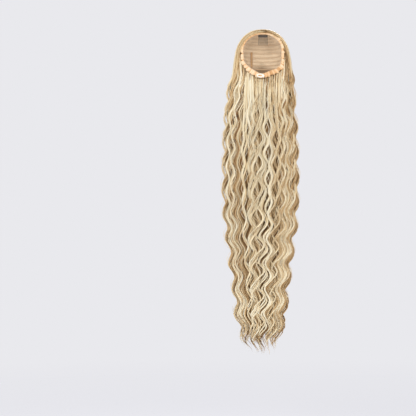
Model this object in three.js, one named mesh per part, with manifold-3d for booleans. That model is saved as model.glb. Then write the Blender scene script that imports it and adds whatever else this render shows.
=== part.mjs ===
// A ponytail hairpiece: a net cap with a gathered drawstring casing and a small comb, and two layers
// of long waved hair that fall from it. Millimetres, +Z up, the opening faces -Y and the hair's outer
// side +Y. The origin is the centre of the opening, where the piece sits over a bun.

import * as THREE from 'three';
import { mergeVertices } from 'three/addons/utils/BufferGeometryUtils.js';
import Module from 'manifold-3d';

const wasm = await Module();
wasm.setup();

// Sizes of the cap
const OPENING_RADIUS = 45.4;
const CAP_DEPTH = 48;
const NET_WALL = 2;
const NET_SETBACK = 2.6;
const TRACK_COUNT = 7;
const TRACK_HEIGHT = 2.4;
const TRACK_THICKNESS = 1.1;
const TRACK_PITCH = 9.6;
const TRACK_SETBACK = 5;
const RIBBON_WIDTH = 4.5;
const RIBBON_LENGTH = 38;
const RIBBON_THICKNESS = 0.9;
const RIBBON_OFFSET = 24;
const RIBBON_DROP = 9;

// Sizes of the casing, the drawstring's loop and the comb
const CASING_WIDTH = 6.6;
const CASING_THICKNESS = 5.2;
const GATHER_COUNT = 24;
const GATHER_DEPTH = 1.5;
const LOOP_WIDTH = 17;
const LOOP_HEIGHT = 8.5;
const LOOP_CORD = 3;
const LOOP_OFFSET = 5.4;
const KNOT_RADIUS = 2.4;
const COMB_WIDTH = 22;
const COMB_THICKNESS = 1.8;
const COMB_SPINE = 5.5;
const COMB_TOOTH_LENGTH = 19;
const COMB_TOOTH_COUNT = 9;
const COMB_TOOTH_WIDTH = 1.3;
const COMB_OFFSET = 1;
const COMB_SETBACK = 1;

// Sizes of the hair
const CROWN_COVER = 12.6;
const SIDE_COVER = 17.6;
const BACK_COVER = 14;
const CROWN_HEM = 15;
const TAIL_LENGTH = 704;
const TAIL_WIDTH = 172;
const TAIL_BACK = 46;
const TAIL_FRONT = 30;
const CORE_END = 0.955;
const WAVE_PITCH = 58.7;
const WAVE_FIRST_BEND = 76;
const WAVE_START = 40;
const WAVE_FULL = 120;
const SWAY_ACROSS = 5.2;
const SWAY_DEEP = 1.2;
const SNAKE = 3;
const BULGE = 1;
const GROOVE_DEPTH = 9;
const LOCK_RADIUS = 9;
const LOCK_CURL = 6;

// Shares that shape the hair: how deep the grooves are over the crown, how flat the tail's front and
// back are, how far the wave of one lock runs ahead of the next, how often that changes round the
// tail, how much of its size a groove may take across and in depth, and how a loose lock swells from
// its root, flattens and thins to its tip.
const CROWN_GROOVE = 0.3;
const FLATNESS = 0.8;
const TURN_SPREAD = 0.12;
const TURN_RATE = 5.3;
const GROOVE_MOST_ACROSS = 0.125;
const GROOVE_MOST_DEEP = 0.33;
const LOCK_ROOT = 0.5;
const LOCK_SWELL = 2;
const LOCK_FLATNESS = 0.7;
const LOCK_THINNING = 0.9;
const LOCK_THINNING_RATE = 2.2;
const QUARTER = 0.25;

// Shares that shape small pieces: how much less a gather is pressed in than drawn in, the knot's
// width and depth, and the width of a tooth's tip.
const GATHER_PRESS = 0.8;
const KNOT_WIDTH = 1.2;
const KNOT_DEPTH = 0.6;
const COMB_TIP = 0.4;

// Clearances
const SEAT_GAP = 0.35;
const LAYER_GAP = 0.4;

// Counts of facets
const ROUND_STEPS = 24;
const LOOP_STEPS = 14;
const CORD_SIDES = 6;
const STEPS_PER_WAVE = 5;
const STEPS_PER_GATHER = 3;
const STEPS_PER_LOCK = 2;
const LOCK_SIDES = 5;
const BACK_LOCKS = 8;
const FRONT_LOCKS = 6;

// Further than any piece reaches
const BEYOND = 400;

// The opening's edge, seen from the front: angle in degrees from the right, turning upwards, and
// reach as a share of OPENING_RADIUS.
const OPENING_ROWS = [
  { angle: 0, reach: 0.97 },
  { angle: 30, reach: 1.04 },
  { angle: 58, reach: 1.04 },
  { angle: 90, reach: 1.02 },
  { angle: 130, reach: 1.04 },
  { angle: 155, reach: 1.04 },
  { angle: 182, reach: 0.98 },
  { angle: 202, reach: 1.0 },
  { angle: 226, reach: 0.94 },
  { angle: 246, reach: 0.93 },
  { angle: 266, reach: 0.99 },
  { angle: 296, reach: 0.93 },
  { angle: 325, reach: 1.06 },
  { angle: 345, reach: 1.0 },
];

// The casing's width round the opening, as a share of CASING_WIDTH.
const CASING_ROWS = [
  { angle: 0, width: 1.0 },
  { angle: 45, width: 1.1 },
  { angle: 90, width: 0.95 },
  { angle: 135, width: 1.1 },
  { angle: 180, width: 1.0 },
  { angle: 214, width: 1.3 },
  { angle: 240, width: 1.65 },
  { angle: 270, width: 1.6 },
  { angle: 300, width: 1.65 },
  { angle: 325, width: 1.4 },
  { angle: 345, width: 1.05 },
];

// The bowl of the net from its edge to its pole: depth as a share of CAP_DEPTH, reach as a share of
// the edge's reach.
const BOWL_ROWS = [
  { depth: 0.0, reach: 1.0 },
  { depth: 0.22, reach: 0.985 },
  { depth: 0.46, reach: 0.93 },
  { depth: 0.68, reach: 0.82 },
  { depth: 0.86, reach: 0.61 },
  { depth: 0.965, reach: 0.34 },
];

// The hair over the cap, upwards from the opening's centre: rise as a share of the crown's height,
// side and back as shares of its reach to the side and to the back.
const CROWN_ROWS = [
  { rise: 0.14, side: 0.945, back: 0.99 },
  { rise: 0.38, side: 0.87, back: 0.93 },
  { rise: 0.62, side: 0.73, back: 0.81 },
  { rise: 0.86, side: 0.51, back: 0.56 },
  { rise: 0.965, side: 0.28, back: 0.3 },
];

// The hair below the opening's centre: drop as a share of TAIL_LENGTH, crown and tail as the shares
// that the crown's reach and the tail's full reach have in the outline, and core as the share of
// that outline which is one body of hair. The rest of it is loose locks.
const TAIL_ROWS = [
  { drop: 0.0, crown: 1.0, tail: 0.0, core: 1.0 },
  { drop: 0.03, crown: 0.83, tail: 0.17, core: 1.0 },
  { drop: 0.07, crown: 0.67, tail: 0.33, core: 1.0 },
  { drop: 0.108, crown: 0.4, tail: 0.6, core: 1.0 },
  { drop: 0.148, crown: 0.3, tail: 0.68, core: 1.0 },
  { drop: 0.188, crown: 0.15, tail: 0.81, core: 1.0 },
  { drop: 0.227, crown: 0.0, tail: 0.96, core: 1.0 },
  { drop: 0.29, crown: 0.0, tail: 0.98, core: 1.0 },
  { drop: 0.446, crown: 0.0, tail: 1.0, core: 1.0 },
  { drop: 0.526, crown: 0.0, tail: 0.97, core: 1.0 },
  { drop: 0.584, crown: 0.0, tail: 0.92, core: 0.98 },
  { drop: 0.643, crown: 0.0, tail: 0.845, core: 0.97 },
  { drop: 0.703, crown: 0.0, tail: 0.795, core: 0.95 },
  { drop: 0.763, crown: 0.0, tail: 0.72, core: 0.93 },
  { drop: 0.822, crown: 0.0, tail: 0.68, core: 0.86 },
  { drop: 0.862, crown: 0.0, tail: 0.65, core: 0.76 },
  { drop: 0.902, crown: 0.0, tail: 0.58, core: 0.58 },
  { drop: 0.942, crown: 0.0, tail: 0.44, core: 0.3 },
  { drop: 0.962, crown: 0.0, tail: 0.35, core: 0.0 },
  { drop: 0.98, crown: 0.0, tail: 0.2, core: 0.0 },
  { drop: 1.0, crown: 0.0, tail: 0.04, core: 0.0 },
];

// The front layer: width as a share of the outer layer's width at that height, front as a share of
// TAIL_FRONT.
const FRONT_ROWS = [
  { drop: 0.068, width: 0.74, front: 0.16 },
  { drop: 0.09, width: 0.78, front: 0.3 },
  { drop: 0.114, width: 0.83, front: 0.45 },
  { drop: 0.148, width: 0.88, front: 0.62 },
  { drop: 0.188, width: 0.91, front: 0.78 },
  { drop: 0.256, width: 0.93, front: 0.92 },
  { drop: 0.37, width: 0.95, front: 1.0 },
  { drop: 0.526, width: 0.95, front: 1.0 },
  { drop: 0.643, width: 0.94, front: 0.9 },
  { drop: 0.763, width: 0.92, front: 0.8 },
  { drop: 0.862, width: 0.9, front: 0.66 },
  { drop: 0.93, width: 0.88, front: 0.5 },
  { drop: 1.0, width: 0.85, front: 0.3 },
];

// Loose locks that are fused to a layer: around is the side they lie on, in degrees from the right
// turning to the back, from and to are shares of TAIL_LENGTH, reach is a share of the outline, size
// is a share of LOCK_RADIUS, and turn is the part of a wave by which the lock runs ahead.
const LOCK_ROWS = [
  { layer: 'back', around: 6, from: 0.56, to: 0.905, reach: 0.9, size: 0.9, turn: 0.1 },
  { layer: 'back', around: 28, from: 0.7, to: 0.95, reach: 0.78, size: 1.0, turn: 0.35 },
  { layer: 'back', around: 62, from: 0.74, to: 0.985, reach: 0.6, size: 1.0, turn: 0.0 },
  { layer: 'back', around: 105, from: 0.72, to: 0.965, reach: 0.62, size: 1.0, turn: 0.5 },
  { layer: 'back', around: 140, from: 0.74, to: 0.99, reach: 0.62, size: 0.9, turn: 0.2 },
  { layer: 'back', around: 174, from: 0.6, to: 0.93, reach: 0.9, size: 0.9, turn: 0.6 },
  { layer: 'front', around: 205, from: 0.66, to: 0.95, reach: 0.72, size: 0.8, turn: 0.15 },
  { layer: 'front', around: 245, from: 0.7, to: 0.995, reach: 0.55, size: 0.8, turn: 0.45 },
  { layer: 'front', around: 290, from: 0.68, to: 0.97, reach: 0.55, size: 0.8, turn: 0.0 },
  { layer: 'front', around: 332, from: 0.64, to: 0.94, reach: 0.74, size: 0.8, turn: 0.7 },
];

// Finishes: colour, roughness and metalness
const FINISHES = {
  net: { color: 0xcbb18c, roughness: 0.9, metalness: 0 },
  track: { color: 0xa58769, roughness: 0.85, metalness: 0 },
  ribbon: { color: 0xb08a5e, roughness: 0.8, metalness: 0 },
  casing: { color: 0xf2c998, roughness: 0.75, metalness: 0 },
  loop: { color: 0xfff8e6, roughness: 0.6, metalness: 0 },
  comb: { color: 0x4a3f30, roughness: 0.45, metalness: 0 },
  crown: { color: 0xc4a67c, roughness: 0.5, metalness: 0 },
  back: { color: 0xbd9c6e, roughness: 0.5, metalness: 0 },
  front: { color: 0xe0cba4, roughness: 0.5, metalness: 0 },
};

const crownRise = OPENING_RADIUS + CROWN_COVER;
const crownSide = OPENING_RADIUS + SIDE_COVER;
const crownBack = CAP_DEPTH + BACK_COVER;
const crownHemZ = -(OPENING_RADIUS + CROWN_HEM);
const tailHalfWidth = TAIL_WIDTH / 2;

// Tables

function rowsAt(rows, key, column, at) {
  const above = rows.findIndex((row) => row[key] >= at);
  if (above === 0) return rows[0][column];
  if (above < 0) return rows[rows.length - 1][column];
  const low = rows[above - 1];
  const high = rows[above];
  return THREE.MathUtils.mapLinear(at, low[key], high[key], low[column], high[column]);
}

// Follows a table round a full turn with a smooth curve through its rows.
function aroundAt(rows, column, degrees) {
  const at = THREE.MathUtils.euclideanModulo(degrees, 360);
  const count = rows.length;
  const next = rows.findIndex((row) => row.angle > at);
  const after = next < 0 ? count : next;
  const row = (index) => rows[THREE.MathUtils.euclideanModulo(index, count)];
  const low = row(after - 1).angle;
  const high = after === count ? 360 : row(after).angle;
  const share = (at - low) / (high - low);
  const [p, q, r, s] = [-2, -1, 0, 1].map((step) => row(after + step)[column]);
  const slopeIn = (r - p) / 2;
  const slopeOut = (s - q) / 2;
  const bend = 2 * q - 2 * r + slopeIn + slopeOut;
  const lean = -3 * q + 3 * r - 2 * slopeIn - slopeOut;
  return ((bend * share + lean) * share + slopeIn) * share + q;
}

// Solids

// Joins rings of points, each with as many points as the next or a single one, into a closed body.
function loft(rings, isLoop = false) {
  const positions = [];
  const starts = rings.map((ring) => {
    const start = positions.length / 3;
    ring.forEach((point) => positions.push(point.x, point.y, point.z));
    return start;
  });
  const faces = [];
  const joinPair = (from, to) => {
    const count = Math.max(rings[from].length, rings[to].length);
    const corner = (ring, i) => starts[ring] + (rings[ring].length === 1 ? 0 : i % count);
    for (let i = 0; i < count; i += 1) {
      const [a, b] = [corner(from, i), corner(from, i + 1)];
      const [c, d] = [corner(to, i), corner(to, i + 1)];
      if (a !== b) faces.push(a, b, d);
      if (c !== d) faces.push(a, d, c);
    }
  };
  const closeEnd = (index, forward) => {
    const ring = rings[index];
    if (ring.length === 1) return;
    const middle = ring.reduce((sum, point) => sum.add(point), new THREE.Vector3());
    middle.divideScalar(ring.length);
    const centre = positions.length / 3;
    positions.push(middle.x, middle.y, middle.z);
    for (let i = 0; i < ring.length; i += 1) {
      const a = starts[index] + i;
      const b = starts[index] + ((i + 1) % ring.length);
      faces.push(...(forward ? [a, b, centre] : [b, a, centre]));
    }
  };
  for (let i = 1; i < rings.length; i += 1) joinPair(i - 1, i);
  if (isLoop) {
    joinPair(rings.length - 1, 0);
  } else {
    closeEnd(0, false);
    closeEnd(rings.length - 1, true);
  }
  const geometry = new THREE.BufferGeometry();
  geometry.setAttribute('position', new THREE.Float32BufferAttribute(positions, 3));
  geometry.setIndex(volumeOf(positions, faces) < 0 ? faces.reverse() : faces);
  return geometry;
}

function volumeOf(positions, faces) {
  const corner = (i) => new THREE.Vector3().fromArray(positions, 3 * faces[i]);
  let volume = 0;
  for (let i = 0; i < faces.length; i += 3) {
    volume += corner(i).dot(corner(i + 1).cross(corner(i + 2))) / 6;
  }
  return volume;
}

function toSolid(geometry) {
  const bare = geometry.clone();
  bare.deleteAttribute('normal');
  bare.deleteAttribute('uv');
  const merged = mergeVertices(bare, 1e-4);
  return new wasm.Manifold(new wasm.Mesh({
    numProp: 3,
    vertProperties: new Float32Array(merged.getAttribute('position').array),
    triVerts: new Uint32Array(merged.getIndex().array),
  }));
}

function toGeometry(solid) {
  const mesh = solid.getMesh();
  const geometry = new THREE.BufferGeometry();
  geometry.setAttribute('position', new THREE.BufferAttribute(mesh.vertProperties, 3));
  geometry.setIndex(new THREE.BufferAttribute(mesh.triVerts, 1));
  geometry.computeVertexNormals();
  return geometry;
}

// A block between two corners
function blockSolid(low, high) {
  const size = new THREE.Vector3().subVectors(high, low);
  const centre = new THREE.Vector3().addVectors(low, high).multiplyScalar(0.5);
  const box = new THREE.BoxGeometry(size.x, size.y, size.z);
  box.translate(centre.x, centre.y, centre.z);
  return toSolid(box);
}

// The cap

function openingReach(degrees) {
  return OPENING_RADIUS * aroundAt(OPENING_ROWS, 'reach', degrees);
}

// A ring round the Y axis that follows the opening's edge, at a depth behind it.
function edgeRing(depth, reachOf, steps = ROUND_STEPS) {
  return Array.from({ length: steps }, (_, i) => {
    const degrees = (360 * i) / steps;
    const turn = THREE.MathUtils.degToRad(degrees);
    const reach = reachOf(degrees);
    return new THREE.Vector3(reach * Math.cos(turn), depth, reach * Math.sin(turn));
  });
}

// The rings of the bowl from its edge to its pole. grow moves its surface outwards.
function bowlRings(grow) {
  const seat = (degrees) => openingReach(degrees) + NET_SETBACK + grow;
  const rings = BOWL_ROWS.map((row) => edgeRing(
    row.depth * (CAP_DEPTH + grow),
    (degrees) => row.reach * seat(degrees),
  ));
  return [...rings, [new THREE.Vector3(0, CAP_DEPTH + grow, 0)]];
}

// The bowl filled up to its mouth, which reaches forward of the opening by lip.
function bowlSolid(grow, lip = 0) {
  const rings = bowlRings(grow);
  const mouth = rings[0].map((point) => new THREE.Vector3(point.x, -lip, point.z));
  return toSolid(loft(lip > 0 ? [mouth, ...rings] : rings));
}

function buildNetCap() {
  const outer = bowlRings(0);
  const inner = bowlRings(-NET_WALL);
  return loft([...outer.reverse(), ...inner]);
}

// A skin on the inner side of the net, between two heights under its surface
function innerSkin(under, thickness) {
  const outer = bowlSolid(-NET_WALL - under);
  return outer.subtract(bowlSolid(-NET_WALL - under - thickness, SEAT_GAP));
}

function buildWeftTrack(index) {
  const middle = TRACK_PITCH * ((TRACK_COUNT - 1) / 2 - index) - TRACK_HEIGHT;
  const band = blockSolid(
    new THREE.Vector3(-BEYOND, TRACK_SETBACK, middle - TRACK_HEIGHT / 2),
    new THREE.Vector3(BEYOND, BEYOND, middle + TRACK_HEIGHT / 2),
  );
  return toGeometry(innerSkin(SEAT_GAP, TRACK_THICKNESS).intersect(band));
}

function buildCapRibbon() {
  const band = blockSolid(
    new THREE.Vector3(
      -RIBBON_OFFSET - RIBBON_WIDTH / 2, TRACK_SETBACK, -RIBBON_DROP - RIBBON_LENGTH / 2,
    ),
    new THREE.Vector3(
      -RIBBON_OFFSET + RIBBON_WIDTH / 2, BEYOND, -RIBBON_DROP + RIBBON_LENGTH / 2,
    ),
  );
  const under = TRACK_THICKNESS + 2 * SEAT_GAP;
  return toGeometry(innerSkin(under, RIBBON_THICKNESS).intersect(band));
}

// The casing and what is on it

function casingWidth(degrees) {
  return CASING_WIDTH * aroundAt(CASING_ROWS, 'width', degrees);
}

function buildCasing() {
  const steps = GATHER_COUNT * STEPS_PER_GATHER;
  const rings = Array.from({ length: steps }, (_, i) => {
    const degrees = (360 * i) / steps;
    const turn = THREE.MathUtils.degToRad(degrees);
    const pinch = i % STEPS_PER_GATHER === 0 ? GATHER_DEPTH : 0;
    const inner = openingReach(degrees);
    const outer = inner + casingWidth(degrees) - pinch;
    const quarter = (outer - inner) / 4;
    const face = -CASING_THICKNESS + pinch * GATHER_PRESS;
    const section = [
      [inner, -CASING_THICKNESS / 2],
      [inner + quarter, face],
      [outer - quarter, face],
      [outer, -CASING_THICKNESS / 2],
      [outer - quarter, -SEAT_GAP],
      [inner + quarter, -SEAT_GAP],
    ];
    return section.map(([reach, depth]) => (
      new THREE.Vector3(reach * Math.cos(turn), depth, reach * Math.sin(turn))
    ));
  });
  return loft(rings, true);
}

// The space that the casing's gathers take, kept clear of hair
function casingSpace() {
  const outline = (degrees) => openingReach(degrees) + casingWidth(degrees) + SEAT_GAP;
  const steps = GATHER_COUNT * STEPS_PER_GATHER;
  return toSolid(loft([edgeRing(-BEYOND, outline, steps), edgeRing(SEAT_GAP, outline, steps)]));
}

function buildDrawstringLoop() {
  const middle = new THREE.Vector3(
    -LOOP_OFFSET,
    -CASING_THICKNESS - LOOP_CORD / 2 - SEAT_GAP,
    -openingReach(270) - casingWidth(270) / 2,
  );
  const halfWidth = (LOOP_WIDTH - LOOP_CORD) / 2;
  const halfHeight = (LOOP_HEIGHT - LOOP_CORD) / 2;
  const rings = Array.from({ length: LOOP_STEPS }, (_, i) => {
    const turn = (2 * Math.PI * i) / LOOP_STEPS;
    const way = new THREE.Vector3(Math.cos(turn) / halfWidth, 0, Math.sin(turn) / halfHeight);
    way.normalize();
    return Array.from({ length: CORD_SIDES }, (_, side) => {
      const roll = (2 * Math.PI * side) / CORD_SIDES;
      const point = new THREE.Vector3(
        halfWidth * Math.cos(turn),
        (LOOP_CORD / 2) * Math.sin(roll),
        halfHeight * Math.sin(turn),
      );
      return point.addScaledVector(way, (LOOP_CORD / 2) * Math.cos(roll)).add(middle);
    });
  });
  const knot = new THREE.SphereGeometry(KNOT_RADIUS, CORD_SIDES, CORD_SIDES - 2);
  knot.scale(KNOT_WIDTH, KNOT_DEPTH, 1);
  knot.translate(middle.x + halfWidth, middle.y, middle.z);
  return toGeometry(toSolid(loft(rings, true)).add(toSolid(knot)));
}

function buildComb() {
  const outline = new THREE.Shape();
  const half = COMB_WIDTH / 2;
  const pitch = (COMB_WIDTH - COMB_TOOTH_WIDTH) / (COMB_TOOTH_COUNT - 1);
  outline.moveTo(-half, COMB_SPINE);
  for (let i = 0; i < COMB_TOOTH_COUNT; i += 1) {
    const left = -half + pitch * i;
    outline.lineTo(left, 0);
    outline.lineTo(left + (COMB_TOOTH_WIDTH * (1 - COMB_TIP)) / 2, -COMB_TOOTH_LENGTH);
    outline.lineTo(left + (COMB_TOOTH_WIDTH * (1 + COMB_TIP)) / 2, -COMB_TOOTH_LENGTH);
    outline.lineTo(left + COMB_TOOTH_WIDTH, 0);
  }
  outline.lineTo(half, COMB_SPINE);
  const geometry = new THREE.ExtrudeGeometry(outline, {
    depth: COMB_THICKNESS,
    bevelEnabled: false,
  });
  geometry.rotateX(Math.PI / 2);
  geometry.translate(
    COMB_OFFSET,
    COMB_THICKNESS + SEAT_GAP / 2,
    openingReach(90) - COMB_SPINE - COMB_SETBACK,
  );
  return toGeometry(toSolid(geometry).intersect(bowlSolid(-NET_WALL - SEAT_GAP)));
}

// The hair

// How far a bend of the wave has come in, from none at the cap to full in the tail
function waveShare(z) {
  return THREE.MathUtils.smoothstep(-z, WAVE_START, WAVE_FULL);
}

function wave(z, turn = 0) {
  return -waveShare(z) * Math.cos(2 * Math.PI * ((-z - WAVE_FIRST_BEND) / WAVE_PITCH + turn));
}

function swayAcross(z) {
  return SWAY_ACROSS * wave(z);
}

function swayDeep(z) {
  return SWAY_DEEP * wave(z, QUARTER);
}

// The outer layer's half width and its depth to the back at a height
function outlineAt(z) {
  if (z > 0) {
    const rise = z / crownRise;
    const rows = [{ rise: 0, side: 1, back: 1 }, ...CROWN_ROWS];
    return {
      side: crownSide * rowsAt(rows, 'rise', 'side', rise),
      deep: crownBack * rowsAt(rows, 'rise', 'back', rise),
      core: 1,
    };
  }
  const drop = -z / TAIL_LENGTH;
  const crown = rowsAt(TAIL_ROWS, 'drop', 'crown', drop);
  const tail = rowsAt(TAIL_ROWS, 'drop', 'tail', drop);
  return {
    side: crown * crownSide + tail * tailHalfWidth,
    deep: crown * crownBack + tail * TAIL_BACK,
    core: rowsAt(TAIL_ROWS, 'drop', 'core', drop),
  };
}

// The front layer's half width and its depth to the front, which is negative, at a height
function frontOutlineAt(z) {
  const outer = outlineAt(z);
  const drop = -z / TAIL_LENGTH;
  const front = TAIL_FRONT * rowsAt(FRONT_ROWS, 'drop', 'front', drop);
  return {
    side: outer.side * rowsAt(FRONT_ROWS, 'drop', 'width', drop),
    deep: -front * Math.min(1, outer.side / crownSide),
    core: outer.core,
  };
}

// Half a ring of locks with a groove between each two, closed by a straight front or back.
function layerRing(z, outline, locks, gap) {
  const points = [];
  const steps = locks * STEPS_PER_LOCK;
  const side = outline.side * outline.core;
  const deep = outline.deep * outline.core;
  const most = Math.min(side * GROOVE_MOST_ACROSS, Math.abs(deep) * GROOVE_MOST_DEEP);
  const groove = GROOVE_DEPTH * (CROWN_GROOVE + (1 - CROWN_GROOVE) * waveShare(z));
  for (let i = 0; i <= steps; i += 1) {
    const turn = (Math.PI * i) / steps;
    const isGroove = i % STEPS_PER_LOCK === 0 && i > 0 && i < steps;
    const ahead = TURN_SPREAD * Math.sin(TURN_RATE * turn + 1);
    const flat = Math.sin(turn) ** FLATNESS;
    const snake = SNAKE * wave(z, ahead) * flat;
    const bulge = BULGE * wave(z, ahead + QUARTER);
    const inset = Math.min((isGroove ? groove : 0) + bulge, most);
    points.push(new THREE.Vector3(
      (side - Math.max(inset, 0)) * Math.cos(turn) + snake + swayAcross(z),
      (deep - Math.sign(deep) * inset) * flat + gap + swayDeep(z),
      z,
    ));
  }
  points.push(new THREE.Vector3(-side / 3 + swayAcross(z), gap + swayDeep(z), z));
  points.push(new THREE.Vector3(side / 3 + swayAcross(z), gap + swayDeep(z), z));
  return points;
}

// The heights of the hair's sections below the opening's centre
function tailHeights(from, to) {
  const count = Math.ceil((TAIL_LENGTH * (to - from) * STEPS_PER_WAVE) / WAVE_PITCH);
  return Array.from({ length: count + 1 }, (_, i) => -TAIL_LENGTH * (from + ((to - from) * i) / count));
}

function outerBody() {
  const heights = [
    ...CROWN_ROWS.map((row) => row.rise * crownRise).reverse(),
    ...tailHeights(0, CORE_END),
  ];
  const rings = heights.map((z) => layerRing(z, outlineAt(z), BACK_LOCKS, LAYER_GAP / 2));
  const top = [new THREE.Vector3(0, LAYER_GAP, crownRise)];
  return toSolid(loft([top, ...rings]));
}

function frontBody() {
  const rings = tailHeights(FRONT_ROWS[0].drop, CORE_END).map(
    (z) => layerRing(z, frontOutlineAt(z), FRONT_LOCKS, -LAYER_GAP / 2),
  );
  return toSolid(loft(rings));
}

// A loose lock that waves down beside the body and ends in a point
function lockSolid(row) {
  const heights = tailHeights(row.from, row.to);
  const turn = THREE.MathUtils.degToRad(row.around);
  const rings = heights.slice(0, -1).map((z, index) => {
    const share = index / (heights.length - 1);
    const outline = row.layer === 'front' ? frontOutlineAt(z) : outlineAt(z);
    const swell = Math.min(LOCK_ROOT + LOCK_SWELL * share, 1);
    const radius = LOCK_RADIUS * row.size * swell * (1 - LOCK_THINNING * share ** LOCK_THINNING_RATE);
    const middle = outline.side * row.reach * Math.cos(turn) + swayAcross(z);
    const depth = Math.abs(outline.deep) * row.reach * Math.sin(turn) + swayDeep(z);
    const curl = LOCK_CURL * wave(z, row.turn) * share;
    return Array.from({ length: LOCK_SIDES }, (_, side) => {
      const roll = (2 * Math.PI * side) / LOCK_SIDES;
      return new THREE.Vector3(
        middle + curl + radius * Math.cos(roll),
        depth + radius * LOCK_FLATNESS * Math.sin(roll),
        z,
      );
    });
  });
  const end = rings[rings.length - 1].reduce((sum, point) => sum.add(point), new THREE.Vector3());
  end.divideScalar(LOCK_SIDES).setZ(heights[heights.length - 1]);
  return toSolid(loft([...rings, [end]]));
}

// All space on one side of the face where the two layers meet. side is 1 behind it, -1 before it.
function layerSpace(side) {
  const face = (z) => side * (LAYER_GAP / 2) + swayDeep(z);
  const heights = [BEYOND, ...tailHeights(0, 1), -TAIL_LENGTH - BEYOND];
  const rings = heights.map((z) => [
    new THREE.Vector3(-BEYOND, face(z), z),
    new THREE.Vector3(BEYOND, face(z), z),
    new THREE.Vector3(BEYOND, side * BEYOND, z),
    new THREE.Vector3(-BEYOND, side * BEYOND, z),
  ]);
  return toSolid(loft(rings));
}

// A body joined with its layer's loose locks and trimmed to a space
function layerHair(body, layer, space) {
  return LOCK_ROWS.filter((row) => row.layer === layer)
    .reduce((joined, row) => joined.add(lockSolid(row)), body)
    .intersect(space);
}

// The main body of a solid, with the small voids filled that locks close off where they cross
// grooves, and without the crumbs that a cut leaves.
function mainBody(solid) {
  return solid.decompose().reduce((best, piece) => (piece.volume() > best.volume() ? piece : best));
}

function blockBetween(low, high) {
  return blockSolid(
    new THREE.Vector3(-BEYOND, -BEYOND, low),
    new THREE.Vector3(BEYOND, BEYOND, high),
  );
}

function buildCrownHair() {
  const above = blockBetween(crownHemZ + LAYER_GAP / 2, BEYOND);
  const hair = outerBody().intersect(above).subtract(bowlSolid(SEAT_GAP, SEAT_GAP));
  return toGeometry(mainBody(hair));
}

function buildBackHair() {
  const below = blockBetween(-TAIL_LENGTH - BEYOND, crownHemZ - LAYER_GAP / 2);
  return toGeometry(mainBody(layerHair(outerBody(), 'back', layerSpace(1)).intersect(below)));
}

function buildFrontHair() {
  const hair = layerHair(frontBody(), 'front', layerSpace(-1));
  return toGeometry(mainBody(hair.subtract(casingSpace())));
}

// The whole piece

const hairpiece = new THREE.Group();

function place(name, geometry, finish) {
  const mesh = new THREE.Mesh(geometry, new THREE.MeshStandardMaterial(FINISHES[finish]));
  mesh.name = name;
  hairpiece.add(mesh);
}

place('net_cap', buildNetCap(), 'net');
for (let i = 0; i < TRACK_COUNT; i += 1) {
  place(`weft_track_${i + 1}`, buildWeftTrack(i), 'track');
}
place('cap_ribbon', buildCapRibbon(), 'ribbon');
place('drawstring_casing', buildCasing(), 'casing');
place('drawstring_knot', buildDrawstringLoop(), 'loop');
place('comb', buildComb(), 'comb');
place('crown_hair', buildCrownHair(), 'crown');
place('back_hair', buildBackHair(), 'back');
place('front_hair', buildFrontHair(), 'front');

export default hairpiece;
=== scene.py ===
"""The looks of a ponytail hairpiece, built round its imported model.

Metres, +Z up. The cap's opening faces -Y and the outer side of the hair faces +Y. The tables of the
hair, the opening and the net repeat those of the part, so each piece lies where its solid lies.
"""

import logging
import math
from collections.abc import Callable, Iterator, Sequence
from dataclasses import dataclass, field
from enum import Enum

import bmesh
import bpy
import numpy as np
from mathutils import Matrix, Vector


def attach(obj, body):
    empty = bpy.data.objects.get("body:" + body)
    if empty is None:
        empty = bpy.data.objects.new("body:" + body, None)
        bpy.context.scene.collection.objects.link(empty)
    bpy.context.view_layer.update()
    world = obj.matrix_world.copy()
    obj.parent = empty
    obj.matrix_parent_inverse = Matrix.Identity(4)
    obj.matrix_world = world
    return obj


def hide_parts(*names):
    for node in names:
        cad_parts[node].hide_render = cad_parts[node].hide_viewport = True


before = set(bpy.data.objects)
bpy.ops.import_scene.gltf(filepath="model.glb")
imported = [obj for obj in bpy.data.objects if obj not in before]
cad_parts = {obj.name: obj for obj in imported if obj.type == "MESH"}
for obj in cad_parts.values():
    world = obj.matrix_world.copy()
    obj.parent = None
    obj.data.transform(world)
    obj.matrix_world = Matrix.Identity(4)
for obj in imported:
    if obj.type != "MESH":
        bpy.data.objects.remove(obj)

LOG = logging.getLogger("hairpiece")
BODY = "root"
STRAND_MAP = "strand"
BAKE_MAP = "OFBake"
SHADE = "shade"
TONE_AND_SHADE = "tone_and_shade"
TURN = 2 * math.pi
MM = 0.001
MERGE = 1e-6

Colour = tuple[int, int, int]
Triple = tuple[float, float, float]
Pair = tuple[float, float]
Stops = Sequence[tuple[float, Colour]]
Feeds = dict[str | int, object]
Socket = bpy.types.NodeSocket


def linear(colour: Colour) -> tuple[float, float, float, float]:
    """Turns a screen colour into Blender's linear one.

    Args:
        colour: red, green and blue from 0 to 255.

    Returns:
        The linear colour with full alpha.
    """
    def channel(value: int) -> float:
        """Returns one channel in linear light."""
        share = value / 255
        return share / 12.92 if share <= 0.04045 else ((share + 0.055) / 1.055) ** 2.4

    return (*(channel(value) for value in colour), 1.0)


def smoothstep(low: float, high: float, value: np.ndarray) -> np.ndarray:
    """Eases from 0 to 1 between two values.

    Args:
        low: the value where the ease starts.
        high: the value where it ends.
        value: the values to ease.

    Returns:
        A share from 0 to 1 for each value.
    """
    share = np.clip((np.asarray(value, float) - low) / (high - low), 0, 1)
    return share * share * (3 - 2 * share)


class Side(Enum):
    """The two halves of the hair, seen from the opening."""

    LEFT = -1
    RIGHT = 1


class Held(Enum):
    """How a sheet of cloth is held on the piece."""

    STRETCHED = "stretched"
    GATHERED = "gathered"


# Materials


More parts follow.
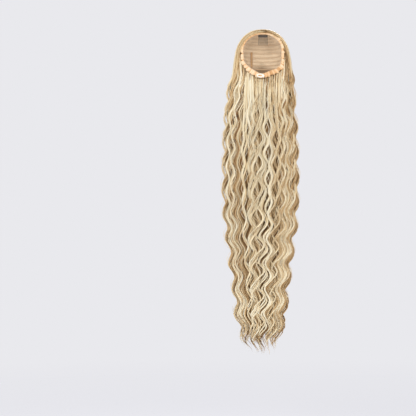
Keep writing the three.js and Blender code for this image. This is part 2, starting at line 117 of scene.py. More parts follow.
class NodeSheet:
    """A material's nodes, with a short call for each kind that the finishes use."""

    def __init__(self, name: str) -> None:
        """Starts an empty material of this name."""
        self.material = bpy.data.materials.new(name)
        self.material.use_nodes = True
        self.tree = self.material.node_tree
        self.tree.nodes.clear()

    def add(self, kind: str, feeds: Feeds, **settings: object) -> bpy.types.NodeOutputs:
        """Adds a node, sets its properties and feeds its inputs.

        Args:
            kind: the node's type name without its first words, ShaderNode.
            feeds: a socket or a plain value for each input, by its name or its place.
            settings: properties of the node.

        Returns:
            The node's outputs.
        """
        node = self.tree.nodes.new(f"ShaderNode{kind}")
        for key, value in settings.items():
            setattr(node, key, value)
        for key, value in feeds.items():
            if isinstance(value, bpy.types.NodeSocket):
                self.tree.links.new(value, node.inputs[key])
            else:
                node.inputs[key].default_value = value
        return node.outputs

    def attribute(self, name: str) -> Socket:
        """Returns a float attribute of the mesh."""
        return self.add("Attribute", {}, attribute_name=name)["Fac"]

    def map_place(self) -> Socket:
        """Returns the place on the piece's own map."""
        return self.add("UVMap", {}, uv_map=STRAND_MAP)["UV"]

    def object_place(self) -> Socket:
        """Returns the place on the object."""
        return self.add("TexCoord", {})["Object"]

    def scaled(self, place: Socket, scale: Triple) -> Socket:
        """Returns a place that is stretched along each axis."""
        return self.add("Mapping", {"Vector": place, "Scale": scale})["Vector"]

    def noise(self, place: Socket, scale: float, detail: float) -> Socket:
        """Returns a soft noise from 0 to 1."""
        return self.add("TexNoise", {"Vector": place, "Scale": scale, "Detail": detail})["Fac"]

    def cells(self, place: Socket, scale: float) -> Socket:
        """Returns the distance to the edges of small cells, as in a net."""
        feeds = {"Vector": place, "Scale": scale}
        return self.add("TexVoronoi", feeds, feature="DISTANCE_TO_EDGE")["Distance"]

    def bands(self, place: Socket, scale: float, way: str) -> Socket:
        """Returns even bands across an axis, as of threads."""
        return self.add("TexWave", {"Vector": place, "Scale": scale}, bands_direction=way)["Fac"]

    def reckon(self, kind: str, first: object, second: object = 0.0) -> Socket:
        """Returns two values joined by a Math node."""
        return self.add("Math", {0: first, 1: second}, operation=kind)[0]

    def total(self, first: Socket, *others: Socket) -> Socket:
        """Returns the sum of several values."""
        for other in others:
            first = self.reckon("ADD", first, other)
        return first

    def spread(self, value: Socket, low: float, high: float) -> Socket:
        """Returns a value from 0 to 1 moved into a range."""
        return self.add("MapRange", {"Value": value, "To Min": low, "To Max": high})["Result"]

    def split(self, place: Socket, axis: str) -> Socket:
        """Returns one axis of a place."""
        return self.add("SeparateXYZ", {"Vector": place})[axis]

    def blend(self, factor: Socket, first: object, second: object) -> Socket:
        """Returns two colours mixed by a factor."""
        return self.add("Mix", {0: factor, 6: first, 7: second}, data_type="RGBA")[2]

    def bump(self, height: Socket, strength: float, distance: float) -> Socket:
        """Returns a normal that a height has bent."""
        return self.add("Bump", {"Height": height, "Strength": strength, "Distance": distance})["Normal"]

    def ramp(self, factor: Socket, stops: Stops) -> Socket:
        """Returns a colour from a row of stops.

        Args:
            factor: the place on the ramp.
            stops: places from 0 to 1 and their colours.

        Returns:
            The colour socket.
        """
        outputs = self.add("ValToRGB", {"Fac": factor})
        band = outputs[0].node.color_ramp
        while len(band.elements) < len(stops):
            band.elements.new(0.5)
        for element, (place, colour) in zip(band.elements, stops):
            element.position = place
            element.color = linear(colour)
        return outputs["Color"]

    def finish(
        self, colour: Socket, roughness: Socket, normal: Socket, **constants: float
    ) -> bpy.types.Material:
        """Closes the material with one shader.

        Args:
            colour: the colour socket.
            roughness: the roughness socket.
            normal: the bent normal.
            constants: numbers for the shader's own sockets, with _ for each space.

        Returns:
            The finished material.
        """
        feeds = {"Base Color": colour, "Roughness": roughness, "Normal": normal}
        feeds |= {key.replace("_", " "): value for key, value in constants.items()}
        self.add("OutputMaterial", {"Surface": self.add("BsdfPrincipled", feeds)["BSDF"]})
        return self.material


@dataclass(frozen=True)
class HairFinish:
    """Blonde hair in fine streaks, from brown to cream; the deeper layers take the brown end as painted
    shade, the top ones the cream.
    """

    name: str = "blonde_hair"
    stops: Stops = (
        (0.0, (92, 64, 36)), (0.2, (150, 112, 66)), (0.42, (196, 158, 106)), (0.64, (228, 200, 152)),
        (0.84, (244, 228, 190)), (1.0, (252, 243, 218)),
    )
    streak: float = 0.26
    streak_grain: Triple = (0.35, 4.0, 1.0)
    drift: float = 0.2
    drift_grain: Triple = (0.9, 0.37, 1.0)
    thread_grain: Triple = (0.12, 9.0, 1.0)
    relief: float = 0.35
    roughness: Pair = (0.36, 0.54)

    def material(self) -> bpy.types.Material:
        """Returns the hair's material, which follows each strand along its map."""
        sheet = NodeSheet(self.name)
        place = sheet.map_place()
        fine = sheet.noise(sheet.scaled(place, self.streak_grain), 1.6, 3.0)
        slow = sheet.noise(sheet.scaled(place, self.drift_grain), 0.3, 1.0)
        shade = sheet.total(
            sheet.attribute(SHADE), sheet.spread(fine, -self.streak, self.streak),
            sheet.spread(slow, -self.drift, self.drift),
        )
        threads = sheet.noise(sheet.scaled(place, self.thread_grain), 2.4, 2.0)
        normal = sheet.bump(threads, self.relief, 0.4 * MM)
        roughness = sheet.spread(fine, *self.roughness)
        return sheet.finish(sheet.ramp(shade, self.stops), roughness, normal, Specular_IOR_Level=0.45)


@dataclass(frozen=True)
class NetFinish:
    """Fine beige net with the rows of hair showing through it, shadowed along its lower rim."""

    name: str = "beige_net"
    stops: Stops = (
        (0.0, (184, 156, 124)), (0.35, (208, 183, 150)), (0.6, (230, 206, 172)), (1.0, (246, 228, 198)),
    )
    row_grain: Triple = (14.0, 30.0, 260.0)
    strand_grain: Triple = (60.0, 60.0, 1500.0)
    mesh_scale: float = 820.0
    thread: Colour = (250, 236, 212)
    thread_width: float = 0.12
    thread_cover: float = 0.4
    shadow: Colour = (112, 84, 54)
    shadow_cover: float = 0.85
    shadow_from: float = 11 * MM
    shadow_reach: float = 20 * MM
    shadow_side: float = 45 * MM
    roughness: Pair = (0.75, 0.95)

    def material(self) -> bpy.types.Material:
        """Returns the net's material."""
        sheet = NodeSheet(self.name)
        place = sheet.object_place()
        rows = sheet.noise(sheet.scaled(place, self.row_grain), 1.0, 3.0)
        strands = sheet.noise(sheet.scaled(place, self.strand_grain), 1.0, 2.0)
        hair = sheet.total(sheet.spread(rows, -0.35, 1.1), sheet.spread(strands, -0.2, 0.32))
        cells = sheet.cells(place, self.mesh_scale)
        thread = sheet.reckon("LESS_THAN", cells, self.thread_width)
        thread = sheet.spread(thread, 0.0, self.thread_cover)
        colour = sheet.blend(thread, sheet.ramp(hair, self.stops), linear(self.thread))
        drop = sheet.reckon("MULTIPLY", sheet.split(place, "Z"), -1 / self.shadow_reach)
        low = sheet.reckon("SUBTRACT", drop, self.shadow_from / self.shadow_reach)
        aside = sheet.reckon("DIVIDE", sheet.reckon("ABSOLUTE", sheet.split(place, "X")), self.shadow_side)
        low = sheet.spread(sheet.reckon("SUBTRACT", low, aside), 0.0, self.shadow_cover)
        colour = sheet.blend(low, colour, linear(self.shadow))
        normal = sheet.bump(cells, 0.5, 0.3 * MM)
        return sheet.finish(colour, sheet.spread(rows, *self.roughness), normal, Sheen_Weight=0.15)


@dataclass(frozen=True)
class ClothFinish:
    """Woven cloth whose colour deepens with its tone attribute, which holds its own tone and painted shade,
    as in its folds.
    """

    name: str
    stops: Stops
    weave: float
    relief: float = 0.25
    cloud: float = 0.18
    thread: float = 0.04
    roughness: Pair = (0.6, 0.85)

    def material(self) -> bpy.types.Material:
        """Returns the cloth's material, woven along its own map."""
        sheet = NodeSheet(self.name)
        place = sheet.map_place()
        weave = sheet.reckon("MULTIPLY", *(sheet.bands(place, self.weave, way) for way in "XY"))
        cloud = sheet.noise(sheet.object_place(), 120.0, 3.0)
        tone_and_shade = sheet.total(
            sheet.attribute(TONE_AND_SHADE), sheet.spread(cloud, -self.cloud, self.cloud),
            sheet.spread(weave, self.thread, -self.thread),
        )
        normal = sheet.bump(weave, self.relief, 0.2 * MM)
        roughness = sheet.spread(cloud, *self.roughness)
        return sheet.finish(sheet.ramp(tone_and_shade, self.stops), roughness, normal, Sheen_Weight=0.3)


@dataclass(frozen=True)
class ThreadFinish:
    """Twisted thread or cord."""

    name: str
    pale: Colour
    deep: Colour
    twist: float = 900.0
    lay: Triple = (1.0, 0.4, 0.7)
    roughness: Pair = (0.5, 0.75)

    def material(self) -> bpy.types.Material:
        """Returns the thread's material, with its twist as a fine relief."""
        sheet = NodeSheet(self.name)
        place = sheet.object_place()
        twist = sheet.bands(sheet.scaled(place, self.lay), self.twist, "DIAGONAL")
        cloud = sheet.noise(place, 400.0, 2.0)
        tone = sheet.reckon("MULTIPLY", sheet.spread(twist, 0.7, 1.0), sheet.spread(cloud, 0.6, 1.1))
        colour = sheet.ramp(tone, ((0.35, self.deep), (0.8, self.pale)))
        normal = sheet.bump(twist, 0.4, 0.25 * MM)
        return sheet.finish(colour, sheet.spread(cloud, *self.roughness), normal, Sheen_Weight=0.2)


@dataclass(frozen=True)
class CombFinish:
    """Smoked plastic: dark along the spine, clearer in the teeth and darker again at their tips, where the
    dark is a painted shadow.
    """

    name: str = "smoked_plastic"
    # The last stops darken the teeth towards their tips: painted shadow.
    stops: Stops = (
        (0.0, (104, 86, 62)), (0.08, (58, 46, 30)), (0.2, (64, 50, 33)), (0.28, (108, 92, 68)),
        (0.5, (78, 66, 48)), (0.7, (30, 26, 18)), (1.0, (10, 9, 6)),
    )
    top: float = 45.3 * MM
    reach: float = 24 * MM
    cloud: float = 0.1
    middle: float = 3.59 * MM
    pitch: float = 5.175 * MM
    line: Colour = (52, 42, 30)
    line_cover: float = 0.7
    roughness: Pair = (0.26, 0.42)

    def material(self) -> bpy.types.Material:
        """Returns the comb's material."""
        sheet = NodeSheet(self.name)
        place = sheet.object_place()
        drop = sheet.reckon("SUBTRACT", self.top, sheet.split(place, "Z"))
        cloud = sheet.noise(place, 260.0, 3.0)
        share = sheet.reckon("DIVIDE", drop, self.reach)
        share = sheet.total(share, sheet.spread(cloud, -self.cloud, self.cloud))
        across = sheet.reckon("SUBTRACT", sheet.split(place, "X"), self.middle)
        lines = sheet.reckon("COSINE", sheet.reckon("MULTIPLY", across, TURN / self.pitch))
        lines = sheet.spread(lines, 0.0, self.line_cover)
        colour = sheet.blend(lines, sheet.ramp(share, self.stops), linear(self.line))
        normal = sheet.bump(cloud, 0.1, 0.2 * MM)
        return sheet.finish(colour, sheet.spread(cloud, *self.roughness), normal, Coat_Weight=0.25)


@dataclass(frozen=True)
class FloorFinish:
    """A plain pale floor that fades into the studio's air far from the piece."""

    name: str = "studio_floor"
    colour: Colour = (240, 240, 243)
    fade_from: float = 1.2
    fade_to: float = 3.2

    def material(self) -> bpy.types.Material:
        """Returns the floor's material."""
        sheet = NodeSheet(self.name)
        away = sheet.add("VectorMath", {0: sheet.object_place()}, operation="LENGTH")["Value"]
        fade = {"Value": away, "From Min": self.fade_from, "From Max": self.fade_to}
        plain = sheet.add("BsdfDiffuse", {"Color": linear(self.colour)})[0]
        clear = sheet.add("BsdfTransparent", {})[0]
        mixed = sheet.add("MixShader", {0: sheet.add("MapRange", fade)["Result"], 1: plain, 2: clear})
        sheet.add("OutputMaterial", {"Surface": mixed[0]})
        return sheet.material


# Forms that the pieces follow


def table(rows: Sequence[tuple[float, ...]], column: int, at: np.ndarray) -> np.ndarray:
    """Reads a column of a table between its rows.

    Args:
        rows: rows whose first value rises from row to row.
        column: the column to read.
        at: the places to read it at.

    Returns:
        The column's value at each place.
    """
    return np.interp(at, [row[0] for row in rows], [row[column] for row in rows])


@dataclass(frozen=True)
class HairForm:
    """The outline and the wave of the hair, as in the part's tables."""

    rise: float = 58 * MM
    side: float = 63 * MM
    back: float = 62 * MM
    length: float = 704 * MM
    half_width: float = 86 * MM
    tail_back: float = 46 * MM
    tail_front: float = 30 * MM
    pitch: float = 58.7 * MM
    first_bend: float = 76 * MM
    wave_start: float = 40 * MM
    wave_full: float = 120 * MM
    sway_across: float = 5.2 * MM
    lean: float = -4.6 * MM

    # rise, side, back
    crown_rows = (
        (0.0, 1.0, 1.0), (0.14, 0.975, 0.99), (0.38, 0.9, 0.93), (0.62, 0.76, 0.81),
        (0.86, 0.51, 0.56), (0.965, 0.28, 0.3), (1.0, 0.02, 0.02),
    )
    # drop, crown, tail
    tail_rows = (
        (0.0, 1.0, 0.0), (0.03, 0.83, 0.17), (0.07, 0.67, 0.33), (0.108, 0.4, 0.6),
        (0.148, 0.3, 0.68), (0.188, 0.15, 0.81), (0.227, 0.0, 0.96), (0.29, 0.0, 0.98),
        (0.446, 0.0, 1.0), (0.526, 0.0, 0.97), (0.584, 0.0, 0.92), (0.643, 0.0, 0.845),
        (0.703, 0.0, 0.795), (0.763, 0.0, 0.72), (0.822, 0.0, 0.68), (0.862, 0.0, 0.65),
        (0.902, 0.0, 0.58), (0.942, 0.0, 0.48), (0.98, 0.0, 0.36), (1.0, 0.0, 0.3),
    )
    # drop, width, front
    front_rows = (
        (0.04, 0.72, 0.12), (0.068, 0.74, 0.16), (0.09, 0.78, 0.3), (0.114, 0.83, 0.45),
        (0.148, 0.88, 0.62), (0.188, 0.91, 0.78), (0.256, 0.93, 0.92), (0.37, 0.95, 1.0),
        (0.526, 0.95, 1.0), (0.643, 0.94, 0.9), (0.763, 0.92, 0.8), (0.862, 0.9, 0.66),
        (0.93, 0.88, 0.5), (1.0, 0.85, 0.3),
    )

    def outline(self, z: np.ndarray) -> tuple[np.ndarray, np.ndarray]:
        """Gives the outer layer's half width and its depth to the back.

        Args:
            z: heights over the opening's centre.

        Returns:
            Half widths and depths.
        """
        up = np.degrees(np.arcsin(np.clip(z / self.rise, 0, 1)))
        rows = [(math.degrees(math.asin(row[0])), *row[1:]) for row in self.crown_rows]
        drop = -z / self.length
        crown, tail = table(self.tail_rows, 1, drop), table(self.tail_rows, 2, drop)
        side = np.where(z > 0, self.side * table(rows, 1, up), crown * self.side + tail * self.half_width)
        deep = np.where(z > 0, self.back * table(rows, 2, up), crown * self.back + tail * self.tail_back)
        return side, deep

    def front(self, z: np.ndarray) -> tuple[np.ndarray, np.ndarray]:
        """Gives the front layer's half width and its depth to the front.

        Args:
            z: heights over the opening's centre.

        Returns:
            Half widths and depths, both positive.
        """
        side, _ = self.outline(z)
        drop = -z / self.length
        deep = self.tail_front * table(self.front_rows, 2, drop) * np.minimum(1, side / self.side)
        return side * table(self.front_rows, 1, drop), deep

    def drift(self, z: np.ndarray) -> np.ndarray:
        """Returns how far the tail hangs to the right at each height, less than 0 to the left."""
        return self.lean * smoothstep(self.wave_start, self.wave_full, -z)


@dataclass(frozen=True)
class CapForm:
    """The outline of the opening and the bowl of the net, as in the part's tables."""

    radius: float = 45.4 * MM
    depth: float = 48 * MM
    setback: float = 2.6 * MM
    casing: float = 6.6 * MM
    casing_thickness: float = 5.2 * MM

    # angle, reach
    opening_rows = (
        (0, 0.97), (30, 1.04), (58, 1.04), (90, 1.02), (130, 1.04), (155, 1.04), (182, 0.98),
        (202, 1.0), (226, 0.94), (246, 0.93), (266, 0.99), (296, 0.93), (325, 1.06), (345, 1.0),
    )
    # angle, width
    casing_rows = (
        (0, 0.95), (45, 0.95), (90, 0.66), (135, 0.62), (180, 0.9), (214, 1.3), (240, 1.65),
        (270, 1.6), (300, 1.65), (325, 1.4), (345, 1.05),
    )
    # depth, reach
    bowl_rows = (
        (0.0, 1.0), (0.22, 0.985), (0.46, 0.93), (0.68, 0.82), (0.86, 0.61), (0.965, 0.34), (1.0, 0.0),
    )

    @staticmethod
    def round_table(rows: Sequence[tuple[float, float]], degrees: np.ndarray) -> np.ndarray:
        """Follows a table round a full turn with a smooth curve.

        Args:
            rows: angles and values.
            degrees: the angles to read at.

        Returns:
            The value at each angle.
        """
        angles = np.array([row[0] for row in rows] + [360.0])
        values = np.array([row[1] for row in rows])
        at = np.mod(np.asarray(degrees, float), 360)
        after = np.minimum(np.searchsorted(angles, at, side="right"), len(values))
        share = (at - angles[after - 1]) / (angles[after] - angles[after - 1])
        p, q, r, s = (values[(after + step) % len(values)] for step in (-2, -1, 0, 1))
        slope_in, slope_out = (r - p) / 2, (s - q) / 2
        bend = 2 * q - 2 * r + slope_in + slope_out
        lean = -3 * q + 3 * r - 2 * slope_in - slope_out
        return ((bend * share + lean) * share + slope_in) * share + q

    def opening(self, degrees: np.ndarray) -> np.ndarray:
        """Returns the opening's reach at each angle."""
        return self.radius * self.round_table(self.opening_rows, degrees)

    def casing_width(self, degrees: np.ndarray) -> np.ndarray:
        """Returns the casing's width at each angle."""
        return self.casing * self.round_table(self.casing_rows, degrees)

    def bowl(self, degrees: np.ndarray, polar: np.ndarray, under: float) -> np.ndarray:
        """Gives points of the bowl.

        Args:
            degrees: angles round the opening.
            polar: angles from the pole, 0 there and a quarter turn at the edge.
            under: the distance under the net's outer surface.

        Returns:
            One point a row.
        """
        rows = sorted((math.acos(row[0]), row[1]) for row in self.bowl_rows)
        reach = table(rows, 1, polar) * (self.opening(degrees) + self.setback - under)
        turn = np.radians(degrees)
        deep = np.cos(polar) * (self.depth - under)
        return np.stack([reach * np.cos(turn), deep, reach * np.sin(turn)], 1)

    def depth_at(self, x: np.ndarray, z: np.ndarray, under: float) -> np.ndarray:
        """Gives the bowl's depth behind a place of the opening.

        Args:
            x: places to the right of the opening's centre.
            z: places above it.
            under: the distance under the net's outer surface.

        Returns:
            The depth at each place.
        """
        degrees = np.degrees(np.arctan2(z, x))
        share = np.hypot(x, z) / (self.opening(degrees) + self.setback - under)
        rows = sorted((row[1], math.acos(row[0])) for row in self.bowl_rows)
        return np.cos(table(rows, 1, np.minimum(share, 1.0))) * (self.depth - under)


# Meshes


def add_object(name: str, data: bpy.types.ID) -> bpy.types.Object:
    """Puts a mesh, curve, camera or lamp into the scene as an object."""
    item = bpy.data.objects.new(name, data)
    bpy.context.scene.collection.objects.link(item)
    return item


def dress(
    mesh: bpy.types.Mesh, material: bpy.types.Material, nodes: Sequence[str] = (),
    wall: float = 0.0, offset: float = 0.0,
) -> bpy.types.Object:
    """Makes a piece of a mesh, and gives it its finish and its place in the frame.

    Args:
        mesh: its mesh, which has the piece's name.
        material: its material.
        nodes: the nodes that it stands for.
        wall: the thickness of a sheet, or 0 for a closed mesh.
        offset: where the sheet lies in its thickness, -1 for its inner face and 0 for its middle.

    Returns:
        The piece.
    """
    mesh.materials.append(material)
    piece = add_object(mesh.name, mesh)
    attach(piece, BODY)
    if nodes:
        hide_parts(*nodes)
    if wall:
        solid = piece.modifiers.new("wall", "SOLIDIFY")
        solid.thickness = wall
        solid.offset = offset
        solid.use_even_offset = True
    LOG.info("%s: %d faces", piece.name, len(mesh.polygons))
    return piece


def set_float(mesh: bpy.types.Mesh, name: str, values: np.ndarray) -> None:
    """Writes a float for each vertex of a mesh."""
    layer = mesh.attributes.new(name, "FLOAT", "POINT")
    layer.data.foreach_set("value", np.asarray(values, np.float32))


def shade_smooth(mesh: bpy.types.Mesh) -> None:
    """Smooths every face of a mesh."""
    mesh.polygons.foreach_set("use_smooth", np.ones(len(mesh.polygons), bool))


def mesh_of(form: bmesh.types.BMesh, name: str) -> bpy.types.Mesh:
    """Returns a form as a smooth mesh, and lets the form go."""
    mesh = bpy.data.meshes.new(name)
    form.to_mesh(mesh)
    form.free()
    shade_smooth(mesh)
    return mesh


@dataclass
class Wisp:
    """A thin lock of hair or a thread: its middle line, its radius along it and how pale it is."""

    points: np.ndarray
    radii: np.ndarray
    shade: float


@dataclass
class WispPiece:
    """A piece made of many wisps, each a closed tapered tube."""

    name: str
    sides: int = 3
    flatness: float = 0.8
    wisps: list[Wisp] = field(default_factory=list)

    def section(self) -> bpy.types.Object:
        """Returns the wisps' section as a closed curve, turned so that the faces point outwards."""
        curve = bpy.data.curves.new(f"{self.name}_section", "CURVE")
        curve.dimensions = "2D"
        line = curve.splines.new("POLY")
        line.points.add(self.sides - 1)
        for index, point in enumerate(line.points):
            turn = -TURN * index / self.sides
            point.co = (math.cos(turn), self.flatness * math.sin(turn), 0, 1)
        line.use_cyclic_u = True
        return bpy.data.objects.new(curve.name, curve)

    def mesh(self) -> bpy.types.Mesh:
        """Returns the mesh of all wisps, with a strip of the bake's map for each."""
        steps = len(self.wisps[0].points)
        section = self.section()
        curve = bpy.data.curves.new(f"{self.name}_lines", "CURVE")
        curve.dimensions = "3D"
        curve.resolution_u = 1
        curve.bevel_mode = "OBJECT"
        curve.bevel_object = section
        for wisp in self.wisps:
            line = curve.splines.new("POLY")
            line.points.add(steps - 1)
            places = np.ones((steps, 4), np.float32)
            places[:, :3] = wisp.points
            radii = np.array(wisp.radii, np.float32)
            radii[0] = radii[-1] = 0
            line.points.foreach_set("co", places.ravel())
            line.points.foreach_set("radius", radii)
        lines = add_object(curve.name, curve)
        graph = bpy.context.evaluated_depsgraph_get()
        mesh = bpy.data.meshes.new_from_object(lines.evaluated_get(graph), depsgraph=graph)
        bpy.data.objects.remove(lines)
        bpy.data.objects.remove(section)
        mesh.name = self.name
        self.write_maps(mesh, steps)
        self.close_ends(mesh, steps)
        shade_smooth(mesh)
        return mesh

    def write_maps(self, mesh: bpy.types.Mesh, steps: int) -> None:
        """Writes the maps and the shade of each wisp.

        Args:
            mesh: the mesh of the wisps, in their order.
            steps: how many points a wisp has.
        """
        count = len(self.wisps)
        own = mesh.uv_layers[0]
        own.name = STRAND_MAP
        places = np.empty(2 * len(mesh.loops), np.float32)
        own.data.foreach_get("uv", places)
        places = places.reshape(-1, 2)
        index = np.repeat(np.arange(count), (steps - 1) * self.sides * 4)
        lengths = np.array([
            np.linalg.norm(np.diff(wisp.points, axis=0), axis=1).sum() for wisp in self.wisps
        ])
        strip = np.stack([(index + 0.08 + 0.84 * places[:, 1]) / count, places[:, 0]], 1)
        bake = mesh.uv_layers.new(name=BAKE_MAP)
        bake.data.foreach_set("uv", strip.astype(np.float32).ravel())
        along = places[:, 0] * lengths[index] * 100
        strand = np.stack([along, index * 3 + 2 * places[:, 1]], 1)
        mesh.uv_layers[STRAND_MAP].data.foreach_set("uv", strand.astype(np.float32).ravel())
        shades = np.repeat([wisp.shade for wisp in self.wisps], steps * self.sides)
        set_float(mesh, SHADE, shades)

    def close_ends(self, mesh: bpy.types.Mesh, steps: int) -> None:
        """Merges each wisp's first and last ring into a point."""
        form = bmesh.new()
        form.from_mesh(mesh)
        form.verts.ensure_lookup_table()
        ring = np.arange(self.sides)
        span = steps * self.sides
        starts = np.arange(len(self.wisps))[:, None] * span
        ends = np.concatenate([starts + ring, starts + span - self.sides + ring], 1).ravel()
        bmesh.ops.remove_doubles(form, verts=[form.verts[int(i)] for i in ends], dist=MERGE)
        form.to_mesh(mesh)
        form.free()


def grid_mesh(
    name: str, along: int, across: int, place: Callable[[np.ndarray, np.ndarray], np.ndarray],
    scale: tuple[float, float] = (1.0, 1.0), closed: bool = False,
) -> bpy.types.Mesh:
    """Bends a flat grid into a sheet.

    Args:
        name: the mesh's name.
        along: segments along the sheet.
        across: segments across it.
        place: gives points from the shares along and across the sheet.
        scale: the sheet's size on its own map, along and across.
        closed: joins the sheet's first edge to its last.

    Returns:
        The sheet's mesh.
    """
    form = bmesh.new()
    form.loops.layers.uv.new(STRAND_MAP)
    bmesh.ops.create_grid(form, x_segments=along, y_segments=across, size=1.0, calc_uvs=True)
    places = np.array([vert.co for vert in form.verts])
    points = place((places[:, 0] + 1) / 2, (places[:, 1] + 1) / 2)
    for vert, point in zip(form.verts, points):
        vert.co = point
    chart = form.loops.layers.uv[STRAND_MAP]
    for face in form.faces:
        for loop in face.loops:
            loop[chart].uv = (loop[chart].uv.x * scale[0], loop[chart].uv.y * scale[1])
    if closed:
        bmesh.ops.remove_doubles(form, verts=form.verts, dist=MERGE)
    return mesh_of(form, name)


# The cap


@dataclass
class NetCap:
    """The bowl of net with its sewn tracks and its ribbon."""

    form: CapForm
    segments: int = 72
    rings: int = 36
    cloth: float = 0.7 * MM
    net_under: float = 1.5 * MM
    cut_width: float = 150 * MM
    track_count: int = 7
    track_height: float = 2.4 * MM
    track_pitch: float = 9.6 * MM
    track_under: float = 2.3 * MM
    track_setback: float = 5 * MM
    track_least: float = 0.4
    # painted shade: the lowest tracks darken step by step
    painted_shade_from: int = 4
    painted_shade_step: float = 0.25
    tape_cloth: float = 0.6 * MM
    tape_weave: float = 1400.0
    tape_fold: float = 0.4
    ribbon_width: float = 4.5 * MM
    ribbon_length: float = 38 * MM
    ribbon_offset: float = 24 * MM
    ribbon_drop: float = 9 * MM
    ribbon_under: float = 3.1 * MM

    # size in millimetres, waves along the track, shift from track to track
    wander_rows = ((0.25, 41, 2.1), (0.2, 97, 1.0))

    def build(self) -> None:
        """Builds the net, its tracks and its ribbon."""
        net = self.build_net()
        track = ClothFinish("woven_tape", (
            (0.0, (232, 208, 176)), (0.5, (214, 188, 154)), (1.0, (192, 162, 126)),
        ), self.tape_weave).material()
        tapes = [self.build_track(index, track) for index in range(self.track_count)]
        tapes.append(self.build_ribbon())

    def build_net(self) -> bpy.types.Object:
        """Returns the net, half a sphere bent into the bowl."""
        form = bmesh.new()
        bmesh.ops.create_uvsphere(
            form, u_segments=self.segments, v_segments=2 * self.rings, radius=1.0, calc_uvs=False
        )
        bmesh.ops.bisect_plane(
            form, geom=[*form.verts, *form.edges, *form.faces], plane_co=(0, 0, 0),
            plane_no=(0, 0, 1), clear_inner=True,
        )
        places = np.array([vert.co for vert in form.verts])
        degrees = np.degrees(np.arctan2(places[:, 1], places[:, 0]))
        polar = np.arccos(np.clip(places[:, 2], 0, 1))
        for vert, point in zip(form.verts, self.form.bowl(degrees, polar, self.net_under)):
            vert.co = point
        bmesh.ops.recalc_face_normals(form, faces=form.faces)
        material = NetFinish().material()
        return dress(mesh_of(form, "net_bowl"), material, ["net_cap"], self.cloth)

    def build_track(self, index: int, material: bpy.types.Material) -> bpy.types.Object:
        """Lays one sewn track along the inside of the net.

        Args:
            index: the track's place from the top.
            material: its material.

        Returns:
            The track.
        """
        height = self.track_pitch * ((self.track_count - 1) / 2 - index) - self.track_height
        half = self.half_width_at(height)

        def place(u: np.ndarray, v: np.ndarray) -> np.ndarray:
            """Returns the points of the tape."""
            x = half * np.sin((2 * u - 1) * math.pi / 2)
            z = height + (v - 0.5) * self.track_height
            for size, waves, shift in self.wander_rows:
                z = z + size * MM * np.sin(waves * u + shift * index)
            return np.stack([x, self.form.depth_at(x, z, self.track_under), z], 1)

        mesh = grid_mesh(f"sewn_track_{index + 1}", 96, 3, place, (2 * half, self.track_height))
        # Painted shade: each track below the fifth is a step darker than the one above it.
        shade = self.tape_fold + self.painted_shade_step * max(0, index - self.painted_shade_from)
        set_float(mesh, TONE_AND_SHADE, shade + 0.3 * np.sin(np.arange(len(mesh.vertices)) * 1.7 + index))
        return dress(mesh, material, [f"weft_track_{index + 1}"], self.tape_cloth)

    def half_width_at(self, height: float) -> float:
        """Returns how far a track reaches before the bowl comes too near the opening."""
        for share in np.linspace(1.0, self.track_least, 61):
            half = share * self.form.radius
            depth = self.form.depth_at(np.array([half, -half]), np.array([height] * 2), self.track_under)
            if depth.min() > self.track_setback:
                break
        return half

    def build_ribbon(self) -> bpy.types.Object:
        """Lays the upright ribbon over the tracks."""
        def place(u: np.ndarray, v: np.ndarray) -> np.ndarray:
            """Returns the points of the ribbon."""
            x = -self.ribbon_offset + (v - 0.5) * self.ribbon_width
            z = (0.5 - u) * self.ribbon_length - self.ribbon_drop
            return np.stack([x, self.form.depth_at(x, z, self.ribbon_under), z], 1)

        mesh = grid_mesh("upright_ribbon", 40, 4, place, (self.ribbon_length, self.ribbon_width))
        set_float(mesh, TONE_AND_SHADE, np.full(len(mesh.vertices), self.tape_fold))
        brown = ClothFinish("brown_tape", (
            (0.0, (206, 170, 128)), (0.5, (190, 150, 106)), (1.0, (158, 118, 78)),
        ), self.tape_weave)
        return dress(mesh, brown.material(), ["cap_ribbon"], self.tape_cloth)


